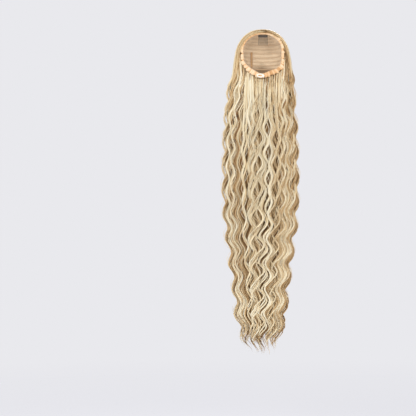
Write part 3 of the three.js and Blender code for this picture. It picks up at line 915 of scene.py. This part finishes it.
@dataclass
class Casing:
    """The gathered peach band round the opening, a strip of cloth folded over its cord."""

    form: CapForm
    cloth: float = 0.6 * MM
    around: int = 400
    across: int = 22
    gathers: int = 46
    relief: float = 1.25 * MM
    scallop: float = 2.1 * MM
    slant: float = 2.2
    open_from: float = 148.0
    open_to: float = 492.0
    cut_length: float = 320 * MM
    cut_width: float = 24 * MM
    stitches: int = 110
    stitch_at: float = 236.0
    stitch_half: float = 1.0
    stitch_radius: float = 0.28 * MM

    # angle, strength of the gathers
    strength_rows = (
        (0, 0.75), (30, 0.65), (60, 0.45), (90, 0.3), (120, 0.42), (150, 0.65), (180, 0.85),
        (210, 0.9), (240, 0.85), (270, 0.95), (300, 1.2), (330, 1.0),
    )
    # angle, depth of colour: the cloth's tone with painted shade round the band
    tone_and_shade_rows = (
        (0, 0.3), (30, 0.22), (60, 0.16), (90, 0.3), (120, 0.6), (150, 0.45), (180, 0.2),
        (210, 0.25), (240, 0.2), (270, 0.35), (300, 0.55), (330, 0.3),
    )
    # size, share of the gathers
    pleat_rows = ((0.42, 0.4), (0.38, 0.66), (0.34, 1.0), (0.18, 1.7))

    def pleat(self, degrees: np.ndarray) -> np.ndarray:
        """Returns the rise and fall of the gathers from -1 to 1."""
        turn = np.radians(degrees)
        uneven = 1.6 * np.sin(3 * turn + 1) + 1.2 * np.sin(7 * turn + 2)
        return sum(
            size * np.sin(round(share * self.gathers) * turn + uneven * (index + 1) * 0.7 + 2.1 * index)
            for index, (size, share) in enumerate(self.pleat_rows)
        )

    def point(self, degrees: np.ndarray, tau: np.ndarray) -> np.ndarray:
        """Gives points of the cloth.

        Args:
            degrees: angles round the opening.
            tau: angles round the band's section, in degrees.

        Returns:
            One point a row.
        """
        strength = self.form.round_table(self.strength_rows, degrees)
        roll = np.radians(tau)
        outside = 0.5 + 0.5 * np.cos(roll)
        pleat = self.pleat(degrees + self.slant * outside * strength) * strength
        half = self.form.casing_thickness / 2
        width = self.form.casing_width(degrees) + self.scallop * pleat * outside
        front = half + self.relief * pleat * (0.35 + 0.65 * outside)
        reach = self.form.opening(degrees) + width / 2 + np.cos(roll) * width / 2
        deep = -half - 0.1 * MM + np.sin(roll) * np.where(np.sin(roll) < 0, front, half - 0.4 * MM)
        turn = np.radians(degrees)
        return np.stack([reach * np.cos(turn), deep, reach * np.sin(turn)], 1)

    def build(self) -> None:
        """Builds the casing and sews it."""
        span = self.open_to - self.open_from
        mesh = grid_mesh(
            "gathered_casing", self.around, self.across,
            lambda u, v: self.point(360 * u, self.open_from + span * v),
            (self.cut_length, self.cut_width), closed=True,
        )
        places = np.array([vert.co for vert in mesh.vertices])
        degrees = np.degrees(np.arctan2(places[:, 2], places[:, 0]))
        strength = self.form.round_table(self.strength_rows, degrees)
        pleat = self.pleat(degrees + self.slant / 2 * strength)
        # Painted shade: darker at the angles that the rows give, deeper in the valleys of the gathers and
        # paler on their crests.
        tone_and_shade = self.form.round_table(self.tone_and_shade_rows, degrees) + 0.42 * strength * np.clip(-pleat, -0.35, 1)
        set_float(mesh, TONE_AND_SHADE, tone_and_shade)
        cloth = ClothFinish("peach_cloth", (
            (0.0, (246, 221, 186)), (0.3, (238, 200, 154)), (0.6, (220, 170, 114)), (1.0, (178, 122, 68)),
        ), weave=1100.0)
        piece = dress(mesh, cloth.material(), ["drawstring_casing"], self.cloth)
        self.build_stitches()

    def build_stitches(self) -> None:
        """Sews a row of stitches along the casing's inner side."""
        threads = WispPiece("casing_stitches", sides=5, flatness=1.0)
        share = np.linspace(-1, 1, 7)
        for index in range(self.stitches):
            degrees = 360 * index / self.stitches + self.stitch_half * share
            points = self.point(degrees, np.full(len(share), self.stitch_at))
            arch = np.cos(math.pi / 2 * share)
            points[:, 1] -= (0.1 + 0.35 * arch) * MM + self.cloth / 2
            threads.wisps.append(Wisp(points, np.full(len(share), self.stitch_radius), 0.5))
        finish = ThreadFinish("peach_thread", (252, 226, 190), (206, 156, 100))
        dress(threads.mesh(), finish.material())


@dataclass
class DrawstringLoop:
    """The white loop of cord that hangs out below the opening, with its knot."""

    form: CapForm
    width: float = 17 * MM
    height: float = 9.6 * MM
    cord: float = 3 * MM
    offset: float = 5.4 * MM
    seat: float = 0.35 * MM
    knot: float = 2.4 * MM
    knot_flat: float = 0.75
    knot_long: float = 1.15
    end_length: float = 4 * MM
    wander: float = 0.06
    lift: float = 0.25
    section_sides: int = 14
    steps: int = 64

    def build(self) -> None:
        """Builds the loop, a turned ring pressed into an oval, and the wrapped knot on its side."""
        below = np.array([270.0])
        middle = (
            -self.offset,
            -self.form.casing_thickness - self.cord / 2 - self.seat,
            -float(self.form.opening(below)[0] + self.form.casing_width(below)[0] / 2),
        )
        half_width, half_height = (self.width - self.cord) / 2, (self.height - self.cord) / 2
        form = bmesh.new()
        radius = self.cord / 2 / half_width
        section = bmesh.ops.create_circle(form, segments=self.section_sides, radius=radius)
        bmesh.ops.translate(form, verts=section["verts"], vec=(1, 0, 0))
        bmesh.ops.spin(
            form, geom=[*form.verts, *form.edges], cent=(0, 0, 0), axis=(0, 1, 0),
            angle=TURN, steps=self.steps, use_merge=True, use_duplicate=False,
        )
        self.press_oval(form, half_width, half_height)
        self.add_knot(form, half_width)
        bmesh.ops.translate(form, verts=form.verts, vec=middle)
        bmesh.ops.recalc_face_normals(form, faces=form.faces)
        finish = ThreadFinish("white_cord", (255, 252, 242), (226, 210, 182), twist=700.0)
        dress(mesh_of(form, "white_loop"), finish.material(), ["drawstring_knot"])

    def press_oval(self, form: bmesh.types.BMesh, half_width: float, half_height: float) -> None:
        """Presses the ring into an oval without pressing its cord, and lets it wander a little."""
        for vert in form.verts:
            turn = math.atan2(vert.co.z, vert.co.x)
            away = math.hypot(vert.co.x, vert.co.z) - 1
            way = Vector((math.cos(turn) / half_width, 0, math.sin(turn) / half_height)).normalized()
            wander = 1 + self.wander * math.sin(3 * turn + 1)
            line = Vector((half_width * math.cos(turn) * wander, 0, half_height * math.sin(turn)))
            deep = vert.co.y * half_width + self.lift * self.cord / 2 * math.sin(2 * turn)
            vert.co = line + way * (away * half_width) + Vector((0, deep, 0))

    def add_knot(self, form: bmesh.types.BMesh, half_width: float) -> None:
        """Adds the wrapped knot at the loop's right end, and a short cut end."""
        ball = bmesh.ops.create_uvsphere(form, u_segments=20, v_segments=14, radius=1.0)
        for vert in ball["verts"]:
            x, y, z = vert.co
            wrap = 1 + 0.09 * math.sin(9 * x + 4 * z)
            long, flat = self.knot_long * self.knot, self.knot_flat * self.knot
            vert.co = Vector((half_width + long * x * wrap, flat * y * wrap, self.knot * z * wrap))
        end = bmesh.ops.create_cone(
            form, segments=10, radius1=0.3 * self.cord, radius2=0.36 * self.cord,
            depth=self.end_length, cap_ends=True,
        )
        place = (half_width + 0.9 * MM, -0.3 * MM, -0.8 * self.end_length)
        bmesh.ops.translate(form, verts=end["verts"], vec=place)


# The hair


@dataclass
class Lock:
    """A lock of wisps that wave together.

    Its around is in degrees from the right: an outer lock turns to the back, and a front lock starts
    at that angle of the opening. Its reach is a share of the hair's half width and depth, which
    becomes fall further down, and its end a share of the hair's length. Its waves begin at calm
    below the opening's centre, and its turn is how far they are out of step, in waves. An outer lock
    starts at rim from the crown's top, in radians, and lies forward there. A front lock starts
    within the casing's width, and its join moves it towards a neighbour further down.
    """

    around: float
    shade: float
    end: float
    count: int
    wave: float
    turn: float
    radius: float
    reach: float = 1.0
    calm: float = 0.035
    pitch: float = 1.0
    twist: float = 0.0
    start: float = 0.0
    rim: float = 0.0
    forward: float = 0.0
    fall: float = 0.0
    join: float = 0.0


@dataclass
class HairMaker:
    """Grows wisps along the hair's form."""

    form: HairForm
    cap: CapForm
    seed: int
    steps: int = 96
    thick: float = 0.95 * MM
    jitter: float = 0.13
    wobble: float = 0.6 * MM
    wave_in: float = 70 * MM
    in_step_from: float = 310 * MM
    in_step_to: float = 430 * MM
    in_step: float = 0.8
    swell: float = 0.35
    deep_wave: float = 0.5
    deep_lag: float = 0.25
    gather: float = 0.12
    slim: float = 0.85
    slim_from: float = 0.78
    flatness: float = 0.6
    curls: Pair = (1.5, 5)
    strays: Pair = (0.4, 1.4)
    uneven: float = 0.03
    lit: float = 0.06
    thicknesses: Pair = (0.6, 1.25)
    root_thin: float = 0.55
    root_to: float = 0.05
    tip_thin: float = 0.75
    tip_from: float = 0.92
    lift: float = 1.5 * MM
    off_top: float = 0.4
    turn_in: float = 85 * MM
    top_reach: float = 0.86
    front_lift: float = 1.6 * MM
    spread_in: float = 150 * MM
    forward_in: float = 60 * MM
    join_from: float = 120 * MM
    join_to: float = 360 * MM
    edge_sink: float = 0.6
    core_drop: float = 24 * MM
    core_back: float = 9 * MM

    def __post_init__(self) -> None:
        """Starts the row of random draws."""
        self.draw = np.random.default_rng(self.seed)

    def swing(self, z: np.ndarray, lock: Lock) -> tuple[np.ndarray, np.ndarray]:
        """Gives a lock's waves, which fall into step with the others further down.

        Args:
            z: heights along the lock.
            lock: the lock.

        Returns:
            Moves across and in depth.
        """
        form = self.form
        low = smoothstep(self.in_step_from, self.in_step_to, -z)
        out_of_step = lock.turn * (1 - self.in_step * low)
        size = lock.wave * (1 + self.swell * low) * smoothstep(lock.calm, lock.calm + self.wave_in, -z)
        steps = (-z - form.first_bend) / (form.pitch * lock.pitch) + out_of_step
        across = -size * np.cos(TURN * steps)
        deep = -self.deep_wave * size * np.cos(TURN * (steps + self.deep_lag))
        return across + form.drift(z), deep

    def radii(self, share: np.ndarray, thick: float) -> np.ndarray:
        """Returns a wisp's radius along it, thin at the root and finest at the tip."""
        root = 1 - self.root_thin * (1 - smoothstep(0, self.root_to, share))
        tip = 1 - self.tip_thin * smoothstep(self.tip_from, 1.0, share)
        return thick * root * tip

    def wisps(self, lock: Lock, middle: np.ndarray, across: np.ndarray, out: np.ndarray) -> list[Wisp]:
        """Fills a lock with wisps round its middle line.

        Args:
            lock: the lock.
            middle: points of the middle line.
            across: the way along the hair's surface at each point.
            out: the way out of the hair at each point.

        Returns:
            The lock's wisps.
        """
        made, draw = [], self.draw
        share = np.linspace(0, 1, self.steps)
        root = smoothstep(0, self.gather, share)
        tip = 1 - self.slim * smoothstep(self.slim_from, 1.0, share)
        for _ in range(lock.count):
            away = math.sqrt(draw.uniform(0.02, 1))
            angle = draw.uniform(0, TURN)
            turn = angle + lock.twist * TURN * share
            curl = TURN * (draw.uniform(*self.curls) * share + draw.uniform(0, 1))
            stray = draw.uniform(*self.strays) * self.wobble * root * (1 + 2 * share**4)
            wide = lock.radius * away * tip * (0.6 + 0.4 * root)
            side = wide * np.cos(turn) + stray * np.sin(curl)
            deep = self.flatness * wide * np.sin(turn)
            points = middle + across * side[:, None] + out * deep[:, None]
            cut = share * (1 - self.uneven * draw.random() ** 2)
            points = np.stack([np.interp(cut, share, points[:, axis]) for axis in range(3)], 1)
            thick = self.thick * draw.uniform(*self.thicknesses)
            # Painted light: wisps towards a lock's outer face are a little paler.
            shade = lock.shade + draw.normal(0, self.jitter) + self.lit * math.sin(angle) * away
            made.append(Wisp(points, self.radii(share, thick), float(shade)))
        return made

    def outer(self, lock: Lock) -> list[Wisp]:
        """Grows a lock from the crown or the rim down the outer side.

        Args:
            lock: the lock.

        Returns:
            Its wisps.
        """
        form = self.form
        arc = form.side * (math.pi / 2 - lock.rim)
        way = np.linspace(0, arc + lock.end * form.length, self.steps)
        angle = np.minimum(lock.rim + way / form.side, math.pi / 2)
        z = np.where(way < arc, form.rise * np.cos(angle), -(way - arc))
        side, deep = form.outline(z)
        side = np.where(lock.rim + way / form.side < 0, -side, side)
        # Away from the crown's top a lock starts at the rim and eases round to its own angle.
        ease = smoothstep(0, self.turn_in, way)
        rim_side = 0.0 if lock.around < 90 else 180.0
        first = lock.around + (rim_side - lock.around) * float(smoothstep(0, self.off_top, lock.rim))
        psi = np.radians(lock.around * ease + first * (1 - ease))
        # Over the crown the deep locks lie nearly as far out as the top ones, clear of the cap.
        crown = lock.reach if lock.forward else max(lock.reach, self.top_reach + 0.13 * lock.reach)
        loosen = smoothstep(-0.02, 0.1, -z) if lock.fall else smoothstep(0.02, 0.2, -z)
        seat = crown + ((lock.fall or lock.reach) - crown) * loosen
        across, back = self.swing(z, lock)
        outward = np.stack([np.cos(psi), np.sin(psi), 0 * z], 1)
        along = np.stack([-np.sin(psi), np.cos(psi), 0 * z], 1)
        ahead = lock.forward * (1 - 0.5 * smoothstep(0.05, 0.2, -z))
        middle = np.stack([
            side * seat * np.cos(psi) + across,
            self.lift + (deep * seat - self.lift) * np.abs(np.sin(psi)) ** 0.85 + back - ahead,
            np.where(z > 0, z * seat, z),
        ], 1)
        return self.wisps(lock, middle, along, outward)

    def front(self, lock: Lock, lean: float, depth: float, spread: float) -> list[Wisp]:
        """Grows a lock from under the casing down the inner side.

        Args:
            lock: the lock; its around is an angle of the opening.
            lean: its place across the hair, from -1 to 1.
            depth: its place in depth, from 0 at the middle to 1 at the front.
            spread: how far it spreads as a share of the front's width.

        Returns:
            Its wisps.
        """
        form = self.form
        at = np.array([lock.around])
        reach = float(self.cap.opening(at)[0] + lock.start * self.cap.casing_width(at)[0])
        turn = math.radians(lock.around)
        x0, z0 = reach * math.cos(turn), reach * math.sin(turn)
        share = np.linspace(0, 1, self.steps)
        z = z0 + (-lock.end * form.length - z0) * share
        fall = z0 - z
        side, deep = form.front(z)
        ease = smoothstep(0, self.spread_in, fall)
        forward = smoothstep(0, self.forward_in, fall)
        across, back = self.swing(z, lock)
        low_lean = lean + lock.join * smoothstep(self.join_from, self.join_to, fall)
        x = x0 * (1 - ease) + low_lean * spread * side * ease + across
        # The locks at the sides hang less far forward than those in the middle.
        ahead = deep * depth * (1 - self.edge_sink * abs(lean) ** 2.5) * forward
        y = back - ahead - self.front_lift
        middle = np.stack([x, y, z], 1)
        along = np.tile([1.0, 0.0, 0.0], (self.steps, 1))
        outward = np.tile([0.0, -1.0, 0.0], (self.steps, 1))
        return self.wisps(lock, middle, along, outward)

    def core(self, lean: float, depth: float, shade: float, end: float) -> list[Wisp]:
        """Grows one thick rope in the middle of the tail, from just under the cap.

        Args:
            lean: its place across the hair, from -1 to 1.
            depth: its place from the front, -1, to the back, 1.
            shade: how pale it is.
            end: where it ends, as a share of the hair's length.

        Returns:
            The rope, as a list of one wisp.
        """
        form = self.form
        share = np.linspace(0, 1, self.steps)
        top = -form.wave_start - self.core_drop
        z = top + (-end * form.length - top) * share
        side, back = form.outline(z)
        _, front = form.front(z)
        lock = Lock(0, shade, end, 1, wave=form.sway_across, turn=0.0, radius=0)
        across, deep = self.swing(z, lock)
        y = np.where(depth > 0, back * depth, front * depth) + deep
        y += self.core_back * (1 - smoothstep(0, 0.1, share))
        points = np.stack([lean * side + across, y, z], 1)
        return [Wisp(points, self.radii(share, self.thick), shade)]


def middles(count: int) -> Iterator[float]:
    """Gives the middles of equal parts of a length, as shares of it."""
    return ((index + 0.5) / count for index in range(count))


@dataclass
class Hair:
    """All the hair, in pieces that each stay light."""

    form: HairForm
    cap: CapForm
    sway: float = 5.0 * MM
    shade_layer_reach: float = 0.885
    shade_layer_length: float = 0.15
    shade_layer_wall: float = 1 * MM

    # count, nearest and farthest place in depth, shade; the deeper row is darker, as painted shade
    front_under_rows = ((17, 0.62, 0.86, 0.48), (23, 0.3, 0.55, 0.34))
    # place in depth, count, share of the width
    core_rows = ((0.55, 15, 0.78), (0.15, 13, 0.72), (-0.3, 13, 0.7))

    def build(self) -> None:
        """Builds the hair's pieces."""
        self.material = HairFinish().material()
        for side in Side:
            self.build_outer(side)
        self.build_under()
        self.build_front()
        self.build_front_under()
        self.build_sides()
        self.build_core()
        self.build_crown_shade()
        self.build_loose()

    def maker(self, seed: int, **settings: float) -> HairMaker:
        """Returns a maker of this hair with its own row of random draws."""
        return HairMaker(self.form, self.cap, seed, **settings)

    def finish(self, name: str, wisps: list[Wisp], nodes: Sequence[str] = (), sides: int = 3) -> None:
        """Makes a piece of its wisps.

        Args:
            name: the piece's name.
            wisps: its wisps.
            nodes: the nodes that it stands for.
            sides: how many sides a wisp has.
        """
        dress(WispPiece(name, sides, wisps=wisps).mesh(), self.material, nodes)

    def build_outer(self, side: Side) -> None:
        """Builds the top layer of one half of the outer hair."""
        maker, wisps = self.maker(11 + side.value, jitter=0.1), []
        draw = maker.draw
        for share in middles(36):
            around = 1 + 90 * share + draw.uniform(-1.5, 1.5)
            around = around if side is Side.RIGHT else 180 - around
            edge = abs(math.cos(math.radians(around)))
            wisps += maker.outer(Lock(
                around=around, reach=draw.uniform(0.84, 0.98),
                shade=float(draw.choice((0.36, 0.6, 0.8, 1.0))) + draw.normal(0, 0.06),
                end=1.0 - 0.07 * edge * draw.random() - 0.07 * draw.random() ** 1.5, count=7,
                wave=self.sway * draw.uniform(0.7, 1.25), turn=draw.normal(0, 0.16 - 0.08 * edge),
                pitch=draw.uniform(0.975, 1.025), radius=draw.uniform(2.0, 3.6) * MM,
                calm=draw.uniform(-0.04, 0.02) + 0.05 * edge, twist=draw.uniform(-1.5, 1.5),
                rim=0.02 + 0.85 * edge * draw.uniform(0, 1) ** 1.5,
            ))
        self.finish(f"outer_hair_{side.name.lower()}", wisps, ["crown_hair", "back_hair"])

    def build_under(self) -> None:
        """Builds the deeper layer of the outer hair, dark as painted shade in the gaps between the top
        locks.
        """
        maker, wisps = self.maker(31, steps=80, thick=1.25 * MM), []
        draw = maker.draw
        for share in middles(30):
            around = 3 + 174 * share + draw.uniform(-3, 3)
            edge = abs(math.cos(math.radians(around)))
            wisps += maker.outer(Lock(
                around=around, reach=draw.uniform(0.66, 0.82), shade=0.26 + draw.uniform(-0.14, 0.14),
                end=0.97 - 0.1 * edge * draw.random() - 0.06 * draw.random(), count=7,
                wave=self.sway * draw.uniform(0.7, 1.2), turn=draw.normal(0, 0.1), radius=6.5 * MM,
                twist=draw.uniform(-1.5, 1.5), rim=0.03 + 0.9 * edge * draw.random(),
            ))
        self.finish("outer_hair_under", wisps, ["crown_hair", "back_hair"])

    def build_front(self) -> None:
        """Builds the pale locks that fall from under the casing and cross further down."""
        maker = self.maker(47, jitter=0.1, wobble=0.45 * MM, slim_from=0.2, in_step=0.6, swell=0.8)
        draw, wisps = maker.draw, []
        for share in middles(16):
            lean = -1 + 2 * share + draw.uniform(-0.04, 0.04)
            wisps += maker.front(Lock(
                around=270 + 56 * lean, shade=0.87 + draw.uniform(-0.16, 0.09),
                end=1.0 - 0.04 * abs(lean) - 0.09 * draw.random() ** 1.5, count=13,
                wave=draw.uniform(2.6, 6.8) * MM, turn=draw.uniform(-0.5, 0.5),
                pitch=draw.uniform(0.98, 1.02), radius=draw.uniform(1.5, 3.6) * MM,
                calm=draw.uniform(0.07, 0.16), twist=draw.uniform(-1.2, 1.2), start=0.8,
                join=0.7 * (round(lean * 3.5) / 3.5 - lean),
            ), 0.13 + 0.84 * lean + draw.normal(0, 0.03), draw.uniform(0.8, 1.05), 0.78)
        self.finish("front_hair_locks", wisps, ["front_hair"])

    def build_front_under(self) -> None:
        """Builds the honey locks between and behind the pale ones; the deeper row is darker, as painted
        shade.
        """
        maker, wisps = self.maker(59, steps=80, thick=1.0 * MM), []
        draw = maker.draw
        for count, near, far, shade in self.front_under_rows:
            for share in middles(count):
                lean = -1 + 2 * share + draw.uniform(-0.05, 0.05)
                wisps += maker.front(Lock(
                    around=270 + 64 * lean, shade=shade + draw.uniform(-0.2, 0.2),
                    end=0.98 - 0.05 * abs(lean) * draw.random() - 0.06 * draw.random(), count=7,
                    wave=draw.uniform(3.6, 5.8) * MM, turn=draw.normal(0, 0.25), radius=3.8 * MM,
                    calm=draw.uniform(0.04, 0.1), twist=draw.uniform(-1.5, 1.5), start=0.75,
                ), lean, draw.uniform(near, far), 0.95)
        self.finish("front_hair_under", wisps, ["front_hair"])

    def build_sides(self) -> None:
        """Builds the smooth hair that follows the rim from the top and falls past both sides."""
        maker, wisps = self.maker(71, wobble=0.9 * MM), []
        draw = maker.draw
        for side in Side:
            for share in middles(6):
                wisps += maker.front(Lock(
                    around=270 + side.value * (64 + 40 * share), shade=0.8 + draw.uniform(-0.2, 0.15),
                    end=0.97 - 0.1 * draw.random(), count=6, wave=self.sway * draw.uniform(0.7, 1.2),
                    turn=draw.normal(0, 0.15), radius=draw.uniform(2, 3.2) * MM,
                    calm=draw.uniform(0.02, 0.06), twist=draw.uniform(-1, 1), start=0.8 + 0.9 * share,
                ), side.value * (0.74 + 0.24 * share), draw.uniform(0.5, 0.9), 0.98)
            # Painted shade: the rim locks that lie deepest, nearest the casing, are darker.
            for share in middles(19):
                wisps += maker.outer(Lock(
                    around=2 if side is Side.RIGHT else 178, reach=0.85 + 0.14 * share,
                    shade=0.2 + 0.32 * share + 0.4 * draw.random(), end=0.98 - 0.1 * draw.random(),
                    count=6, wave=self.sway * draw.uniform(0.7, 1.3), turn=draw.normal(0, 0.17),
                    radius=draw.uniform(1.6, 3.2) * MM, calm=draw.uniform(0.01, 0.05),
                    twist=draw.uniform(-0.8, 0.8), rim=draw.uniform(-0.25, 0.25),
                    forward=(7.2 - 6 * share * draw.random()) * MM, fall=draw.uniform(0.66, 1.0),
                ))
        self.finish("side_hair_locks", wisps, ["crown_hair", "front_hair"])

    def build_core(self) -> None:
        """Builds the thick hair in the middle of the tail, dark as painted shade between the locks."""
        maker, wisps = self.maker(83, steps=80, thick=7 * MM), []
        for depth, count, wide in self.core_rows:
            for share in middles(count):
                lean = wide * (2 * share - 1)
                end = 0.85 - 0.05 * abs(lean) - 0.03 * maker.draw.random()
                # Painted shade: the ropes are dark so that the gaps between the locks look shaded.
                wisps += maker.core(lean, depth, 0.2 + maker.draw.uniform(-0.08, 0.08), end)
        self.finish("inner_hair", wisps, ["back_hair", "front_hair"], sides=6)

    def build_crown_shade(self) -> None:
        """Builds the dark layer between the net and the hair over the crown: painted shade that shows in the
        gaps between the locks.
        """
        form, reach, lift = self.form, self.shade_layer_reach, HairMaker.lift
        arc = form.side * math.pi / 2

        def place(u: np.ndarray, v: np.ndarray) -> np.ndarray:
            """Returns the points of the dark layer."""
            way = v * (arc + self.shade_layer_length)
            angle = np.minimum(way / form.side, math.pi / 2)
            z = np.where(way < arc, form.rise * np.cos(angle), -(way - arc))
            side, deep = form.outline(z)
            psi = math.pi * u
            narrow = reach - 0.25 * smoothstep(0.03, self.shade_layer_length, -z)
            x = side * narrow * np.cos(psi) + form.drift(z)
            y = lift + (deep * narrow - lift) * np.sin(psi)
            return np.stack([x, y, np.where(z > 0, z * reach, z)], 1)

        mesh = grid_mesh("crown_shade_layer", 48, 48, place, (60.0, 24.0))
        # Painted shade: the layer is dark all over.
        set_float(mesh, SHADE, np.full(len(mesh.vertices), 0.2))
        dress(mesh, self.material, ["crown_hair"], self.shade_layer_wall, offset=-1.0)

    def build_loose(self) -> None:
        """Builds the single hairs that stray from the outline."""
        maker, wisps = self.maker(97, steps=72, thick=0.5 * MM, wobble=1.2 * MM), []
        draw = maker.draw
        for index in range(110):
            aside = draw.uniform(-1, 1)
            lock = Lock(
                around=90 + 90 * math.copysign(math.sqrt(abs(aside)), aside),
                reach=draw.uniform(0.95, 1.02), shade=draw.uniform(0.5, 0.95),
                end=draw.uniform(0.6, 1.0), count=1, wave=self.sway * draw.uniform(0.9, 1.6),
                turn=draw.normal(0, 0.15), pitch=draw.uniform(0.97, 1.03), radius=2 * MM,
                twist=draw.uniform(-2, 2), start=0.8, rim=0.3,
            )
            if index % 3:
                wisps += maker.outer(lock)
            else:
                lean = draw.uniform(-1, 1)
                lock.around = 270 + 58 * lean
                wisps += maker.front(lock, lean, 1.1, 0.98)
        self.finish("loose_hairs", wisps)


@dataclass
class Comb:
    """The small comb, which keeps its own solid."""

    node: bpy.types.Object

    def build(self) -> None:
        """Gives the comb its finish."""
        self.node.data.materials.clear()
        self.node.data.materials.append(CombFinish().material())
        LOG.info("comb: %d faces, kept as it is", len(self.node.data.polygons))


# The studio


@dataclass
class Studio:
    """The camera of the picture, a plain floor and soft light."""

    pixels: int = 416
    metres_a_pixel: float = 2.33 * MM
    origin_pixel: tuple[float, float] = (262.5, 54.4)
    lens: float = 100.0
    sensor: float = 36.0
    floor_drop: float = 1.1
    floor_radius: float = 4.0
    air: Colour = (233, 233, 237)
    air_strength: float = 1.0

    def build(self) -> None:
        """Sets up the camera, the floor, the air and the lamps."""
        self.build_camera()
        self.build_floor()
        self.build_air()
        self.lamp("key", (-1.1, -2.6, 0.9), (0, 0, -0.25), 1.5, 34)
        self.lamp("fill", (1.9, -2.0, 0.2), (0, 0, -0.35), 1.8, 12)
        self.lamp("back", (0.6, 2.2, 1.4), (0, 0, -0.2), 1.3, 7, beam=60)
        bpy.context.scene.view_settings.view_transform = "Standard"

    def build_camera(self) -> None:
        """Looks straight at the inner side, so that it lies where the picture has it."""
        middle = self.pixels / 2
        x = (middle - self.origin_pixel[0]) * self.metres_a_pixel
        z = (self.origin_pixel[1] - middle) * self.metres_a_pixel
        away = self.pixels * self.metres_a_pixel * self.lens / self.sensor
        data = bpy.data.cameras.new("camera")
        data.lens = self.lens
        data.sensor_width = self.sensor
        camera = add_object("camera", data)
        camera.location = (x, -away, z)
        camera.rotation_euler = (math.pi / 2, 0, 0)
        bpy.context.scene.camera = camera

    def build_floor(self) -> None:
        """Lays a wide plain floor under the piece."""
        form = bmesh.new()
        bmesh.ops.create_circle(form, cap_ends=True, segments=96, radius=self.floor_radius)
        bmesh.ops.translate(form, verts=form.verts, vec=(0, 0, -self.floor_drop))
        mesh = mesh_of(form, "floor")
        mesh.materials.append(FloorFinish().material())
        add_object("floor", mesh)

    def build_air(self) -> None:
        """Fills the studio with even pale light."""
        world = bpy.data.worlds.new("studio")
        world.use_nodes = True
        air = world.node_tree.nodes["Background"]
        air.inputs["Color"].default_value = linear(self.air)
        air.inputs["Strength"].default_value = self.air_strength
        bpy.context.scene.world = world

    def lamp(
        self, name: str, place: Triple, aim: Triple, size: float, watts: float, beam: float = 180
    ) -> None:
        """Hangs a soft square lamp.

        Args:
            name: the lamp's name.
            place: where it hangs.
            aim: the point that it faces.
            size: the length of its side.
            watts: its power.
            beam: how wide its light fans out, in degrees.
        """
        data = bpy.data.lights.new(name, "AREA")
        data.size = size
        data.energy = watts
        data.spread = math.radians(beam)
        lamp = add_object(name, data)
        lamp.location = place
        way = Vector(aim) - Vector(place)
        lamp.rotation_euler = way.to_track_quat("-Z", "Y").to_euler()


def main() -> None:
    """Builds the hairpiece and its studio."""
    logging.basicConfig(level=logging.INFO, format="%(name)s: %(message)s")
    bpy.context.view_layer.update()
    Studio().build()
    cap, hair = CapForm(), HairForm()
    NetCap(cap).build()
    Casing(cap).build()
    DrawstringLoop(cap).build()
    Comb(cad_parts["comb"]).build()
    Hair(hair, cap).build()


if __name__ == "__main__":
    main()
